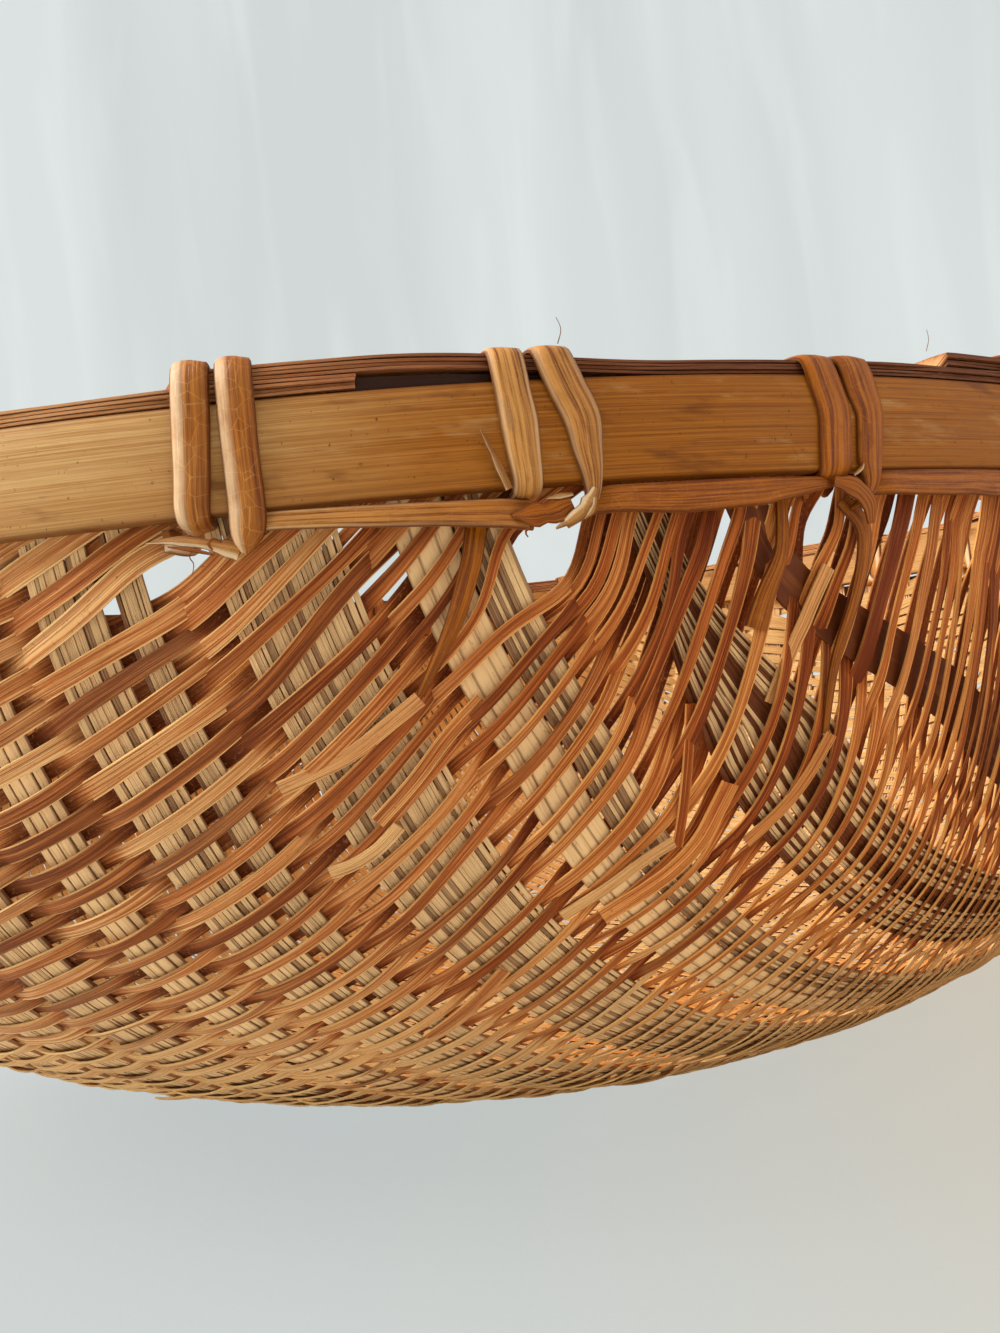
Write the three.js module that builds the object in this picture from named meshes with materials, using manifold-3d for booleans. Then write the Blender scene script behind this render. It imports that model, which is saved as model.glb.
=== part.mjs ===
// Oval bamboo winnowing basket: a deep woven bowl held between two bent hoops, lashed with split rattan.
// Millimetres. X runs across the ribs, Y runs along them, Z is up, and the origin is under the bowl's middle.
import * as THREE from "three";
import Module from "manifold-3d";
import { mergeVertices } from "three/addons/utils/BufferGeometryUtils.js";

const wasm = await Module();
wasm.setup();

// Overall form
const HALF_WIDTH = 238; // middle to the outer hoop's face, across the ribs
const HALF_LENGTH = 298; // middle to the outer hoop's face, along the ribs
const DEPTH = 178; // resting face to the hoops' top edges
const WALL_FULLNESS = 3.7; // exponent of the belly's plan: higher is a flatter floor and steeper wall
const FULLNESS_AT_SIDES = 0.2; // how much fuller the belly is at its sides than at its ends
const FULLNESS_LEAN = 0.13; // hand weaving leaves the belly fuller towards one quarter
const LEAN_ANGLE = 47; // degrees, the direction of that quarter
const WALL_CURVE = 2.15; // exponent of the belly's height

// Rim
const HOOP_HEIGHT = 20;
const OUTER_HOOP_THICKNESS = 4;
const INNER_HOOP_THICKNESS = 4;
const HOOP_LAP = 90; // length of the scarf where a hoop's two ends overlap
const SCARF_TIP = 0.8; // thickness left at a scarfed end
const OUTER_SCARF_ANGLE = 132; // degrees round the oval to the outer hoop's scarf
const INNER_SCARF_ANGLE = 180; // and to the inner hoop's, away from it
const FILLER_COUNT = 10; // lengths of filler laid end over end round the rim
const FILLER_THICKNESS = 2.9;
const FILLER_SETBACK = 1.2; // rim faces to the filler's edges
const FILLER_LAP = 34.5; // how far a length lies on the end of the one before it
const FILLER_DESCENT = 64; // over which it then comes down to the hoops
const FILLER_LEAD = 71; // from the start of the first length to the first pair of turns

// Weave
const SKIN_THICKNESS = 1.4;
const SKIN_SETBACK = 1.5; // hoops' top edges down to the weave's cut edge
const RIB_WIDTH = 12.5;
const RIB_THICKNESS = 0.9;
const RIB_PITCH = 20.8;
const RIB_MARGIN = 9; // least distance from the outermost rib's middle to the wall
const RIB_LEAN = 0.045; // share of its distance by which a rib leans to the middle at the rim
const RIB_LEAN_DEPTH = 70; // depth at which that lean begins
const WINDOW_HEIGHT = 7; // opening in the weave below the hoops at each lashing

// Lashing
const PAIR_COUNT = 26;
const PAIRS_PER_STRAND = 2;
const FIRST_PAIR_ANGLE = -35.6; // degrees round the oval
const STRAND_WIDTH = 7;
const RUN_WIDTH = 6; // the same strand where it runs on edge below the hoop
const STRAND_THICKNESS = 1.2;
const TURN_GAP = 1.6; // between the two turns of a pair
const TURN_SLANT = 2.2; // sideways shift of a turn over the hoop's height

// Clearances
const GAP = 0.3; // between pieces that touch
const WEAVE_GAP = 0.4; // round a rib where the hoops clamp it
const BELLY_GAP = 1.5; // between the ribs and the woven skin over the belly

// Derived sizes
const SKIN_OUTER = OUTER_HOOP_THICKNESS + GAP;
const SKIN_MIDDLE = SKIN_OUTER + SKIN_THICKNESS / 2;
const RIB_MIDDLE = SKIN_OUTER + SKIN_THICKNESS + WEAVE_GAP + RIB_THICKNESS / 2;
const INNER_HOOP_OUTER = RIB_MIDDLE + RIB_THICKNESS / 2 + WEAVE_GAP;
const RIM_THICKNESS = INNER_HOOP_OUTER + INNER_HOOP_THICKNESS;
const HOOP_BOTTOM = DEPTH - HOOP_HEIGHT;
const BELLY_HEIGHT = HOOP_BOTTOM - SKIN_THICKNESS / 2;
const FILLER_BOTTOM = DEPTH + GAP;
const FILLER_STEP = FILLER_THICKNESS + GAP; // how much higher a length lies where it is on another
const MID_WIDTH = HALF_WIDTH - SKIN_MIDDLE;
const MID_LENGTH = HALF_LENGTH - SKIN_MIDDLE;

const UP = new THREE.Vector3(0, 0, 1);

// Plan of the rim: an oval measured by its arc length, then cut into straight facets that every rim piece shares.
const OVAL_STEPS = 4096;
const ovalArc = [0];
for (let i = 1; i <= OVAL_STEPS; i++) {
  const middle = ((i - 0.5) / OVAL_STEPS) * 2 * Math.PI;
  const speed = Math.hypot(HALF_WIDTH * Math.sin(middle), HALF_LENGTH * Math.cos(middle));
  ovalArc.push(ovalArc[i - 1] + (speed * 2 * Math.PI) / OVAL_STEPS);
}
const PERIMETER = ovalArc[OVAL_STEPS];
const PAIR_PITCH = PERIMETER / PAIR_COUNT;

// The oval's angle at an arc length, and the arc length at an angle.
function angleAt(arc) {
  const turns = Math.floor(arc / PERIMETER);
  const rest = arc - turns * PERIMETER;
  let low = 0;
  let high = OVAL_STEPS;
  while (high - low > 1) {
    const middle = (low + high) >> 1;
    if (ovalArc[middle] <= rest) low = middle;
    else high = middle;
  }
  const share = (rest - ovalArc[low]) / (ovalArc[high] - ovalArc[low]);
  return ((low + share) / OVAL_STEPS + turns) * 2 * Math.PI;
}

function arcAt(angle) {
  const turns = Math.floor(angle / (2 * Math.PI));
  const place = (angle / (2 * Math.PI) - turns) * OVAL_STEPS;
  const step = Math.min(Math.floor(place), OVAL_STEPS - 1);
  return ovalArc[step] + (ovalArc[step + 1] - ovalArc[step]) * (place - step) + turns * PERIMETER;
}

// Along the rim, measured from the middle of a pair of turns: where the strand goes in, and its legs.
const LEG_SPACING = STRAND_WIDTH + TURN_GAP;
const FIRST_LEG = -LEG_SPACING / 2;
const SECOND_LEG = LEG_SPACING / 2;
const SLIT_HALF = STRAND_THICKNESS / 2 + GAP;
const CROSSING_SLANT = 1.24; // a slanting strand takes this much more of the rim than its width
const CROSSING_HALF = (STRAND_WIDTH / 2) * CROSSING_SLANT + GAP;
const CROSSING_MIDDLE = TURN_SLANT / 4;
const RIB_BRIDGE = 2.5; // rib left standing between the two places where a strand passes through it
const ENTRY = CROSSING_MIDDLE - CROSSING_HALF - RIB_BRIDGE - SLIT_HALF;
const WINDOW_SIDE = 0.5; // from the strand to the sides of the window it passes through
const WINDOW_START = ENTRY - STRAND_THICKNESS / 2 - WINDOW_SIDE - GAP;
const WINDOW_END = SECOND_LEG + TURN_SLANT + STRAND_WIDTH / 2 + WINDOW_SIDE;
const COLUMNS_BETWEEN = 2; // facets from one pair's facet to the next
const COLUMNS_PER_PAIR = 1 + COLUMNS_BETWEEN;

const firstPairArc = arcAt((FIRST_PAIR_ANGLE * Math.PI) / 180);
const pairArc = (pair) => firstPairArc + pair * PAIR_PITCH;

// Filler lengths: where each starts, and how high it lies above the hoops at a distance from its start
const FILLER_PITCH = PERIMETER / FILLER_COUNT;
const fillerStart = (k) => firstPairArc - FILLER_LEAD + k * FILLER_PITCH;
const fillerLift = (along) => {
  const share = THREE.MathUtils.clamp((along - FILLER_LAP) / FILLER_DESCENT, 0, 1);
  return along < 0 ? 0 : FILLER_STEP * (1 - share * share * (3 - 2 * share));
};

// Top of the filler between two places on the rim, where a length may lie on the end of another.
function fillerTop(from, to) {
  const after = (arc) => (((arc - fillerStart(0)) % FILLER_PITCH) + FILLER_PITCH) % FILLER_PITCH;
  const startsBetween = after(to) < to - from;
  const lift = startsBetween ? FILLER_STEP : fillerLift(after(from));
  return FILLER_BOTTOM + lift + FILLER_THICKNESS;
}

// Corner number n of the faceted rim, for any whole n.
function cornerArc(n) {
  const pair = Math.floor(n / COLUMNS_PER_PAIR);
  const place = n - pair * COLUMNS_PER_PAIR;
  const free = PAIR_PITCH - (WINDOW_END - WINDOW_START);
  const inPair = place === 0 ? WINDOW_START : WINDOW_END + ((place - 1) / COLUMNS_BETWEEN) * free;
  return pairArc(pair) + inPair;
}
const CORNERS = PAIR_COUNT * COLUMNS_PER_PAIR;

const corners = [];
for (let n = 0; n < CORNERS; n++) {
  const angle = angleAt(cornerArc(n));
  corners.push({
    angle,
    point: new THREE.Vector3(HALF_WIDTH * Math.cos(angle), HALF_LENGTH * Math.sin(angle), 0),
  });
}
const corner = (n) => corners[((n % CORNERS) + CORNERS) % CORNERS];

// Outward normal of the facet that starts at corner n.
function facetNormal(n) {
  const along = corner(n + 1).point.clone().sub(corner(n).point).normalize();
  return new THREE.Vector3(along.y, -along.x, 0);
}

// The direction in which a corner moves when both its facets move out by one millimetre.
for (let n = 0; n < CORNERS; n++) {
  const before = facetNormal(n - 1);
  const after = facetNormal(n);
  corners[n].mitre = before.clone().add(after).divideScalar(1 + before.dot(after));
}

// A point on the faceted rim, out from the outer hoop's face by out, at height z.
function rimPoint(arc, out, z) {
  const [n, share] = facetAt(arc);
  const start = corner(n).point.clone().addScaledVector(corner(n).mitre, out);
  const end = corner(n + 1).point.clone().addScaledVector(corner(n + 1).mitre, out);
  return start.lerp(end, share).setZ(z);
}

function facetAt(arc) {
  let n = Math.floor((arc - cornerArc(0)) / PAIR_PITCH) * COLUMNS_PER_PAIR;
  while (cornerArc(n + 1) <= arc + 1e-9) n++;
  return [n, (arc - cornerArc(n)) / (cornerArc(n + 1) - cornerArc(n))];
}

// Arc lengths of every facet corner between two places, with the two places themselves.
const SHORTEST_FACET = 0.5;

function stationsBetween(start, end, extra = []) {
  const found = [start, end, ...extra];
  for (let n = facetAt(start)[0] + 1; cornerArc(n) < end; n++) found.push(cornerArc(n));
  found.sort((a, b) => a - b);
  return found.filter((arc, i) => i === 0 || arc - found[i - 1] > SHORTEST_FACET);
}

// The woven belly below the hoops
const bellyPower = (angle) =>
  WALL_FULLNESS *
  Math.exp(
    FULLNESS_AT_SIDES * Math.cos(2 * angle) +
      FULLNESS_LEAN * Math.cos(angle - (LEAN_ANGLE * Math.PI) / 180),
  );

// Share of the rim's plan that the belly has at a drop below the hoops, from 0 to 1.
const spreadAt = (angle, drop) => Math.pow(Math.max(0, 1 - Math.pow(drop, WALL_CURVE)), 1 / bellyPower(angle));
const dropAt = (angle, spread) => Math.pow(Math.max(0, 1 - Math.pow(spread, bellyPower(angle))), 1 / WALL_CURVE);

// Outward normal of the belly's middle surface at a plan place and a drop.
function bellyNormal(x, y, angle, spread, drop) {
  const power = bellyPower(angle);
  const side = power * Math.pow(Math.max(spread, 1e-3), power - 2);
  const down = (WALL_CURVE * Math.pow(drop, WALL_CURVE - 1)) / BELLY_HEIGHT;
  return new THREE.Vector3((side * x) / MID_WIDTH ** 2, (side * y) / MID_LENGTH ** 2, -down).normalize();
}

// Solids

// Turns the faces of a closed geometry outwards and gives it normals.
function finished(positions, indices) {
  let volume = 0;
  const a = new THREE.Vector3();
  const b = new THREE.Vector3();
  const c = new THREE.Vector3();
  for (let i = 0; i < indices.length; i += 3) {
    a.copy(positions[indices[i]]);
    b.copy(positions[indices[i + 1]]);
    c.copy(positions[indices[i + 2]]);
    volume += a.dot(b.cross(c));
  }
  const faces = volume < 0 ? [...indices].reverse() : indices;
  const geometry = new THREE.BufferGeometry().setFromPoints(positions);
  geometry.setIndex(faces);
  geometry.computeVertexNormals();
  return geometry;
}

// A solid through four-cornered rings, with its two ends closed.
// Opposite faces are split along the same diagonal, so that a twisted strip keeps its thickness.
function loft(rings) {
  const indices = [];
  const size = rings[0].length;
  for (let r = 0; r + 1 < rings.length; r++) {
    for (let k = 0; k < size; k++) {
      const next = (k + 1) % size;
      const low = r * size;
      const high = low + size;
      if (k < size / 2) indices.push(low + k, low + next, high + next, low + k, high + next, high + k);
      else indices.push(low + k, low + next, high + k, low + next, high + next, high + k);
    }
  }
  const last = (rings.length - 1) * size;
  for (let k = 1; k + 1 < size; k++) {
    indices.push(0, k + 1, k, last, last + k, last + k + 1);
  }
  return finished(rings.flat(), indices);
}

// The ring of a flat strip: its middle, half its width and half its thickness, as vectors.
const stripRing = (middle, half, thick) => [
  middle.clone().sub(half).sub(thick),
  middle.clone().add(half).sub(thick),
  middle.clone().add(half).add(thick),
  middle.clone().sub(half).add(thick),
];

// A strip bent round the rim between two faces, given as functions of the arc length.
function rimStrip(arcs, outFace, inFace, bottom, top) {
  return loft(
    arcs.map((arc) => [
      rimPoint(arc, -outFace(arc), bottom(arc)),
      rimPoint(arc, -inFace(arc), bottom(arc)),
      rimPoint(arc, -inFace(arc), top(arc)),
      rimPoint(arc, -outFace(arc), top(arc)),
    ]),
  );
}

const always = (value) => () => value;

// A hoop bent from one strip, whose ends are cut to long wedges that lie on each other.
function hoop(start, outer, thickness, grow = 0) {
  const end = start + PERIMETER + HOOP_LAP;
  const inner = outer + thickness;
  const slope = thickness - 2 * SCARF_TIP;
  const parting = (way) => inner - SCARF_TIP - slope * way;
  const outFace = (arc) => (arc < start + HOOP_LAP ? parting((arc - start) / HOOP_LAP) + GAP / 2 : outer);
  const inFace = (arc) =>
    arc > end - HOOP_LAP ? parting((arc - end + HOOP_LAP) / HOOP_LAP) - GAP / 2 : inner;
  return rimStrip(
    stationsBetween(start, end, [start + HOOP_LAP - 0.01, end - HOOP_LAP + 0.01]),
    (arc) => outFace(arc) - grow,
    (arc) => inFace(arc) + grow,
    always(HOOP_BOTTOM - grow),
    always(DEPTH + grow),
  );
}

// Turns a geometry into a solid that can be cut, and back.
function solid(geometry) {
  const bare = geometry.clone();
  bare.deleteAttribute("normal");
  const merged = mergeVertices(bare, 1e-4);
  return new wasm.Manifold(
    new wasm.Mesh({
      numProp: 3,
      vertProperties: new Float32Array(merged.attributes.position.array),
      triVerts: new Uint32Array(merged.index.array),
    }),
  );
}

function geometryOf(body) {
  const mesh = body.getMesh();
  const geometry = new THREE.BufferGeometry();
  const places = new Float32Array(mesh.numVert * 3);
  for (let i = 0; i < mesh.numVert; i++) {
    const from = i * mesh.numProp;
    places.set(mesh.vertProperties.subarray(from, from + 3), i * 3);
  }
  geometry.setAttribute("position", new THREE.BufferAttribute(places, 3));
  geometry.setIndex(new THREE.BufferAttribute(new Uint32Array(mesh.triVerts), 1));
  geometry.computeVertexNormals();
  return geometry;
}

// Woven skin: one thin wall with a window below the hoops at every pair of turns.
const WINDOW_TOP_LAP = 1; // window's top edge above the hoops' lower edges, out of sight
const BELLY_ROWS = 12;
const FLOOR_ROW = BELLY_ROWS - 1;

function skinRows() {
  const windowDrop = WINDOW_HEIGHT / BELLY_HEIGHT;
  const firstTurn = Math.asin(Math.pow(windowDrop, WALL_CURVE / 2));
  const rows = [
    { z: DEPTH - SKIN_SETBACK, drop: 0 },
    { z: HOOP_BOTTOM + WINDOW_TOP_LAP, drop: 0 },
  ];
  for (let k = 0; k < BELLY_ROWS; k++) {
    const turn = firstTurn + ((Math.PI / 2 - firstTurn) * k) / BELLY_ROWS;
    const flat = k >= FLOOR_ROW;
    const drop = Math.pow(Math.sin(turn), 2 / WALL_CURVE);
    rows.push({ z: HOOP_BOTTOM - BELLY_HEIGHT * (flat ? 1 : drop), drop, flat });
  }
  return rows;
}

function skin(grow = 0) {
  const rows = skinRows();
  const half = SKIN_THICKNESS / 2 + grow;
  const points = [];
  const index = (n, row, side) => (((n + CORNERS) % CORNERS) * rows.length + row) * 2 + side;
  for (let n = 0; n < CORNERS; n++) {
    const { angle, point, mitre } = corner(n);
    const rim = point.clone().addScaledVector(mitre, -SKIN_MIDDLE);
    for (const row of rows) {
      const spread = row.drop === 0 ? 1 : spreadAt(angle, row.drop);
      const middle = new THREE.Vector3(rim.x * spread, rim.y * spread, row.z);
      let normal = mitre;
      if (row.flat) normal = UP.clone().negate();
      else if (row.drop > 0) normal = bellyNormal(middle.x, middle.y, angle, spread, row.drop);
      points.push(middle.clone().addScaledVector(normal, half));
      points.push(middle.clone().addScaledVector(normal, -half));
    }
  }
  const floor = HOOP_BOTTOM - BELLY_HEIGHT;
  const pole = points.length;
  points.push(new THREE.Vector3(0, 0, floor - half), new THREE.Vector3(0, 0, floor + half));
  const open = (n, row) => row < 0 || (row === 1 && n % COLUMNS_PER_PAIR === 0);
  const faces = [];
  const quad = (a, b, c, d) => faces.push(a, b, c, a, c, d);
  const last = rows.length - 1;
  for (let n = 0; n < CORNERS; n++) {
    for (let row = 0; row < last; row++) {
      if (open(n, row)) continue;
      const [a, b] = [index(n, row, 0), index(n + 1, row, 0)];
      const [c, d] = [index(n + 1, row + 1, 0), index(n, row + 1, 0)];
      quad(a, d, c, b);
      quad(a + 1, b + 1, c + 1, d + 1);
      if (open(n, row - 1)) quad(a, b, b + 1, a + 1);
      if (open(n, row + 1)) quad(d, d + 1, c + 1, c);
      if (open((n + CORNERS - 1) % CORNERS, row)) quad(a, a + 1, d + 1, d);
      if (open((n + 1) % CORNERS, row)) quad(b, c, c + 1, b + 1);
    }
    faces.push(index(n, last, 0), pole, index(n + 1, last, 0));
    faces.push(index(n, last, 1), index(n + 1, last, 1), pole + 1);
  }
  return finished(points, faces);
}

// Ribs: flat strips that cross the bowl side by side and end between the hoops.
const FIRST_BEND = 16; // a rib's first bend below the hoops
const RIB_WALL_DEPTHS = [SKIN_SETBACK, HOOP_HEIGHT, HOOP_HEIGHT + FIRST_BEND, RIB_LEAN_DEPTH];
const RIB_BELLY_SHARES = [0.36, 0.66, 0.86, 0.985]; // its bends from there to the middle, as shares of the drop

// Middle of a rib, with the skin's normal, on one wall at a depth below the hoops' top edges.
function ribOnWall(place, end, depth) {
  const lean = RIB_LEAN * Math.max(0, 1 - depth / RIB_LEAN_DEPTH);
  const x = place * (1 - lean);
  const drop = Math.max(0, (depth - HOOP_HEIGHT) / BELLY_HEIGHT);
  let angle = end * Math.acos(x / MID_WIDTH);
  let spread = 1;
  for (let pass = 0; pass < 6; pass++) {
    spread = drop === 0 ? 1 : spreadAt(angle, drop);
    angle = end * Math.acos(THREE.MathUtils.clamp(x / (MID_WIDTH * spread), -1, 1));
  }
  if (drop === 0) {
    const arc = arcAt(angle);
    const [n] = facetAt(arc);
    return { point: rimPoint(arc, -RIB_MIDDLE, DEPTH - depth), normal: facetNormal(n) };
  }
  const y = MID_LENGTH * spread * Math.sin(angle);
  return ribInside(x, y, angle, spread, drop);
}

function ribInside(x, y, angle, spread, drop) {
  const normal = bellyNormal(x, y, angle, spread, drop);
  const inset = SKIN_THICKNESS / 2 + BELLY_GAP + RIB_THICKNESS / 2;
  const point = new THREE.Vector3(x, y, HOOP_BOTTOM - BELLY_HEIGHT * drop);
  return { point: point.addScaledVector(normal, -inset), normal };
}

// One half of a rib, from its end between the hoops to the last bend before the middle.
function ribSide(place, end) {
  const middleAngle = place > 0 ? 0 : Math.PI;
  const lowest = HOOP_HEIGHT + BELLY_HEIGHT * dropAt(middleAngle, Math.abs(place) / MID_WIDTH);
  const bellyDepths = RIB_BELLY_SHARES.map((share) => RIB_LEAN_DEPTH + (lowest - RIB_LEAN_DEPTH) * share);
  return [...RIB_WALL_DEPTHS, ...bellyDepths].map((depth) => ribOnWall(place, end, depth));
}

function rib(place) {
  const path = [...ribSide(place, 1), ...ribSide(place, -1).reverse()];
  const rings = path.map(({ point, normal }, k) => {
    const before = path[Math.max(0, k - 1)].point;
    const after = path[Math.min(path.length - 1, k + 1)].point;
    const along = after.clone().sub(before).normalize();
    const across = along.clone().cross(normal).normalize();
    const face = across.clone().cross(along).normalize();
    return stripRing(
      point,
      across.multiplyScalar(RIB_WIDTH / 2),
      face.multiplyScalar(RIB_THICKNESS / 2),
    );
  });
  return loft(rings);
}

// Places on the flat facet of a pair: along the rim, out from the outer hoop's face, and up.
// The strand turns its other face out at each new pair, which side says.
function pairFrame(pair, side = 1) {
  const arc = pairArc(pair);
  const out = facetNormal(facetAt(arc)[0]);
  const along = UP.clone().cross(out).normalize();
  const origin = rimPoint(arc, 0, 0);
  const vector = (a, o, z) =>
    new THREE.Vector3().addScaledVector(along, a).addScaledVector(out, o).addScaledVector(UP, z);
  const point = (a, o, z) => vector(a, o, z).add(origin);
  const ring = (middle, half, thick) =>
    stripRing(point(...middle), vector(...half).multiplyScalar(side), vector(...thick).multiplyScalar(side));
  const over = fillerTop(arc + WINDOW_START, arc + WINDOW_END) + GAP + STRAND_THICKNESS / 2;
  return { ring, point, over };
}

// Levels of the strand's run below the hoops, and the depths between which it passes through the weave
const RUN_DROP = 0.4; // hoops' lower edges down to the run
const RUN_TOP = HOOP_BOTTOM - RUN_DROP;
const RUN_MIDDLE = RUN_TOP - RUN_WIDTH / 2;
const PASSAGE_START = OUTER_HOOP_THICKNESS / 2;
const PASSAGE_END = RIM_THICKNESS - INNER_HOOP_THICKNESS / 2;

// The two places where the strand of a pair passes through the weave, as solids that clear it.
function passages(pair) {
  const { point } = pairFrame(pair);
  const box = (from, to, low, high) =>
    loft(
      [from, to].map((along) => [
        point(along, -PASSAGE_START, low),
        point(along, -PASSAGE_END, low),
        point(along, -PASSAGE_END, high),
        point(along, -PASSAGE_START, high),
      ]),
    );
  const slitLow = RUN_MIDDLE - RUN_WIDTH / 2 - GAP;
  const crossingLow = HOOP_BOTTOM - STRAND_THICKNESS - 2 * GAP;
  const [crossingStart, crossingStop] = [CROSSING_MIDDLE - CROSSING_HALF, CROSSING_MIDDLE + CROSSING_HALF];
  return [
    solid(box(ENTRY - SLIT_HALF, ENTRY + SLIT_HALF, slitLow, RUN_TOP + GAP)),
    solid(box(crossingStart, crossingStop, crossingLow, HOOP_BOTTOM)),
  ];
}

// Where the scarfs of the two hoops begin
const OUTER_SCARF = arcAt((OUTER_SCARF_ANGLE * Math.PI) / 180);
const INNER_SCARF = arcAt((INNER_SCARF_ANGLE * Math.PI) / 180);

// Everything that a rib keeps clear of, grown by the gap between pieces.
function ribCutters() {
  const cutters = [solid(skin(GAP)), solid(hoop(INNER_SCARF, INNER_HOOP_OUTER, INNER_HOOP_THICKNESS, GAP))];
  const above = new THREE.BoxGeometry(4 * HALF_WIDTH, 4 * HALF_LENGTH, DEPTH);
  above.deleteAttribute("uv");
  above.translate(0, 0, DEPTH - SKIN_SETBACK + DEPTH / 2);
  cutters.push(solid(above));
  for (let pair = 0; pair < PAIR_COUNT; pair++) cutters.push(...passages(pair));
  return cutters;
}

// Lashing: one flat strand that passes in below the hoops, goes twice round the rim and runs on to the next pair.
const OUT = GAP + STRAND_THICKNESS / 2;
const IN = -(RIM_THICKNESS + GAP + STRAND_THICKNESS / 2);
const UNDER = HOOP_BOTTOM - GAP - STRAND_THICKNESS / 2;
const CORNER_CUT = 1.4; // how far a turn rounds off the filler's corners
const UNDER_CUT = 2 * GAP; // and the hoops' lower corners, which are sharper

const HALF_STRAND = STRAND_WIDTH / 2;
const HALF_RUN = RUN_WIDTH / 2;
const HALF_THICK = STRAND_THICKNESS / 2;
const BEND_THICK = HALF_THICK * Math.tan(Math.PI / 8);
const INNER_LEG = FIRST_LEG + GAP;
const CROSSING_END = 2 * CROSSING_MIDDLE - FIRST_LEG - TURN_SLANT / 2;

// Rings of the strand where it comes along below the hoop, goes in through the weave and turns up.
function entryRings({ ring }) {
  const edge = [0, 0, HALF_RUN];
  const bend = [HALF_THICK, HALF_THICK, 0];
  return [
    ring([ENTRY, OUT, RUN_MIDDLE], edge, bend),
    ring([ENTRY, IN, RUN_MIDDLE], edge, bend),
    ring([INNER_LEG, IN, RUN_MIDDLE], [-HALF_STRAND, 0, HALF_RUN], [0, HALF_THICK, 0]),
  ];
}

// Rings of one leg over the rim: up inside, over the filler and down outside.
function overRings({ ring, over }, inner, outer) {
  const width = [-HALF_STRAND, 0, 0];
  return [
    ring([inner, IN, over - CORNER_CUT], width, [0, HALF_THICK, -BEND_THICK]),
    ring([inner, IN + CORNER_CUT, over], width, [0, BEND_THICK, -HALF_THICK]),
    ring([outer, OUT - CORNER_CUT, over], width, [0, -BEND_THICK, -HALF_THICK]),
    ring([outer, OUT, over - CORNER_CUT], width, [0, -HALF_THICK, -BEND_THICK]),
  ];
}

// Rings of the turn under the hoops, from the outside back to the inside.
function underRings({ ring }, outer, inner) {
  const width = [-HALF_STRAND, 0, 0];
  return [
    ring([outer, OUT, UNDER + UNDER_CUT], width, [0, -HALF_THICK, BEND_THICK]),
    ring([outer, OUT - UNDER_CUT, UNDER], width, [0, -BEND_THICK, HALF_THICK]),
    ring([inner, IN + UNDER_CUT, UNDER], width, [0, BEND_THICK, HALF_THICK]),
    ring([inner, IN, UNDER + UNDER_CUT], width, [0, HALF_THICK, BEND_THICK]),
  ];
}

// One strand: a straight run below the hoop and two turns at each of its pairs, then a cut end.
function strand(firstPair) {
  const start = SECOND_LEG + TURN_SLANT + HALF_STRAND + GAP;
  const before = pairFrame(firstPair - 1);
  const rings = [before.ring([start, OUT, RUN_MIDDLE], [0, 0, HALF_RUN], [0, HALF_THICK, 0])];
  for (let k = 0; k < PAIRS_PER_STRAND; k++) {
    const frame = pairFrame(firstPair + k, k % 2 === 0 ? 1 : -1);
    rings.push(...entryRings(frame));
    rings.push(...overRings(frame, INNER_LEG, FIRST_LEG));
    rings.push(...underRings(frame, FIRST_LEG + TURN_SLANT / 2, CROSSING_END));
    rings.push(...overRings(frame, CROSSING_END, SECOND_LEG));
    const last = k === PAIRS_PER_STRAND - 1;
    const fold = [-HALF_STRAND, 0, last ? 0 : -HALF_RUN];
    rings.push(frame.ring([SECOND_LEG + TURN_SLANT, OUT, RUN_MIDDLE], fold, [0, -HALF_THICK, 0]));
  }
  return loft(rings);
}

// Materials
const finish = (color, roughness) => new THREE.MeshStandardMaterial({ color, roughness, metalness: 0 });
const hoopFinish = finish(0x9a7447, 0.6);
const fillerFinish = finish(0x8a5233, 0.75);
const weaveFinish = finish(0xa8703f, 0.7);
const ribFinish = finish(0xd2b079, 0.75);
const rattanFinish = finish(0xb5702a, 0.4);

const basket = new THREE.Group();
const add = (name, geometry, material) => {
  const mesh = new THREE.Mesh(geometry, material);
  mesh.name = name;
  basket.add(mesh);
};

add("outer_hoop", hoop(OUTER_SCARF, 0, OUTER_HOOP_THICKNESS), hoopFinish);
add("inner_hoop", hoop(INNER_SCARF, INNER_HOOP_OUTER, INNER_HOOP_THICKNESS), hoopFinish);
add("woven_body", skin(), weaveFinish);

// Ribs, numbered from one side of the bowl to the other
const cutters = ribCutters();
const ribsEachSide = Math.floor((MID_WIDTH - RIB_MARGIN) / RIB_PITCH + 0.5);
for (let k = 0; k < 2 * ribsEachSide; k++) {
  const place = (k - ribsEachSide + 0.5) * RIB_PITCH;
  const cut = wasm.Manifold.difference([solid(rib(place)), ...cutters]);
  add(`rib_${String(k + 1).padStart(2, "0")}`, geometryOf(cut), ribFinish);
}

// Filler lengths laid round the rim, each starting on the end of the one before and coming down to the hoops
const DESCENT_STEPS = 3;
for (let k = 0; k < FILLER_COUNT; k++) {
  const start = fillerStart(k);
  const descent = [];
  for (let i = 0; i <= DESCENT_STEPS; i++) descent.push(start + FILLER_LAP + (FILLER_DESCENT * i) / DESCENT_STEPS);
  const bottom = (arc) => FILLER_BOTTOM + fillerLift(arc - start);
  const geometry = rimStrip(
    stationsBetween(start, start + FILLER_PITCH + FILLER_LAP, descent),
    always(FILLER_SETBACK),
    always(RIM_THICKNESS - FILLER_SETBACK),
    bottom,
    (arc) => bottom(arc) + FILLER_THICKNESS,
  );
  add(`filler_${String(k + 1).padStart(2, "0")}`, geometry, fillerFinish);
}

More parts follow.
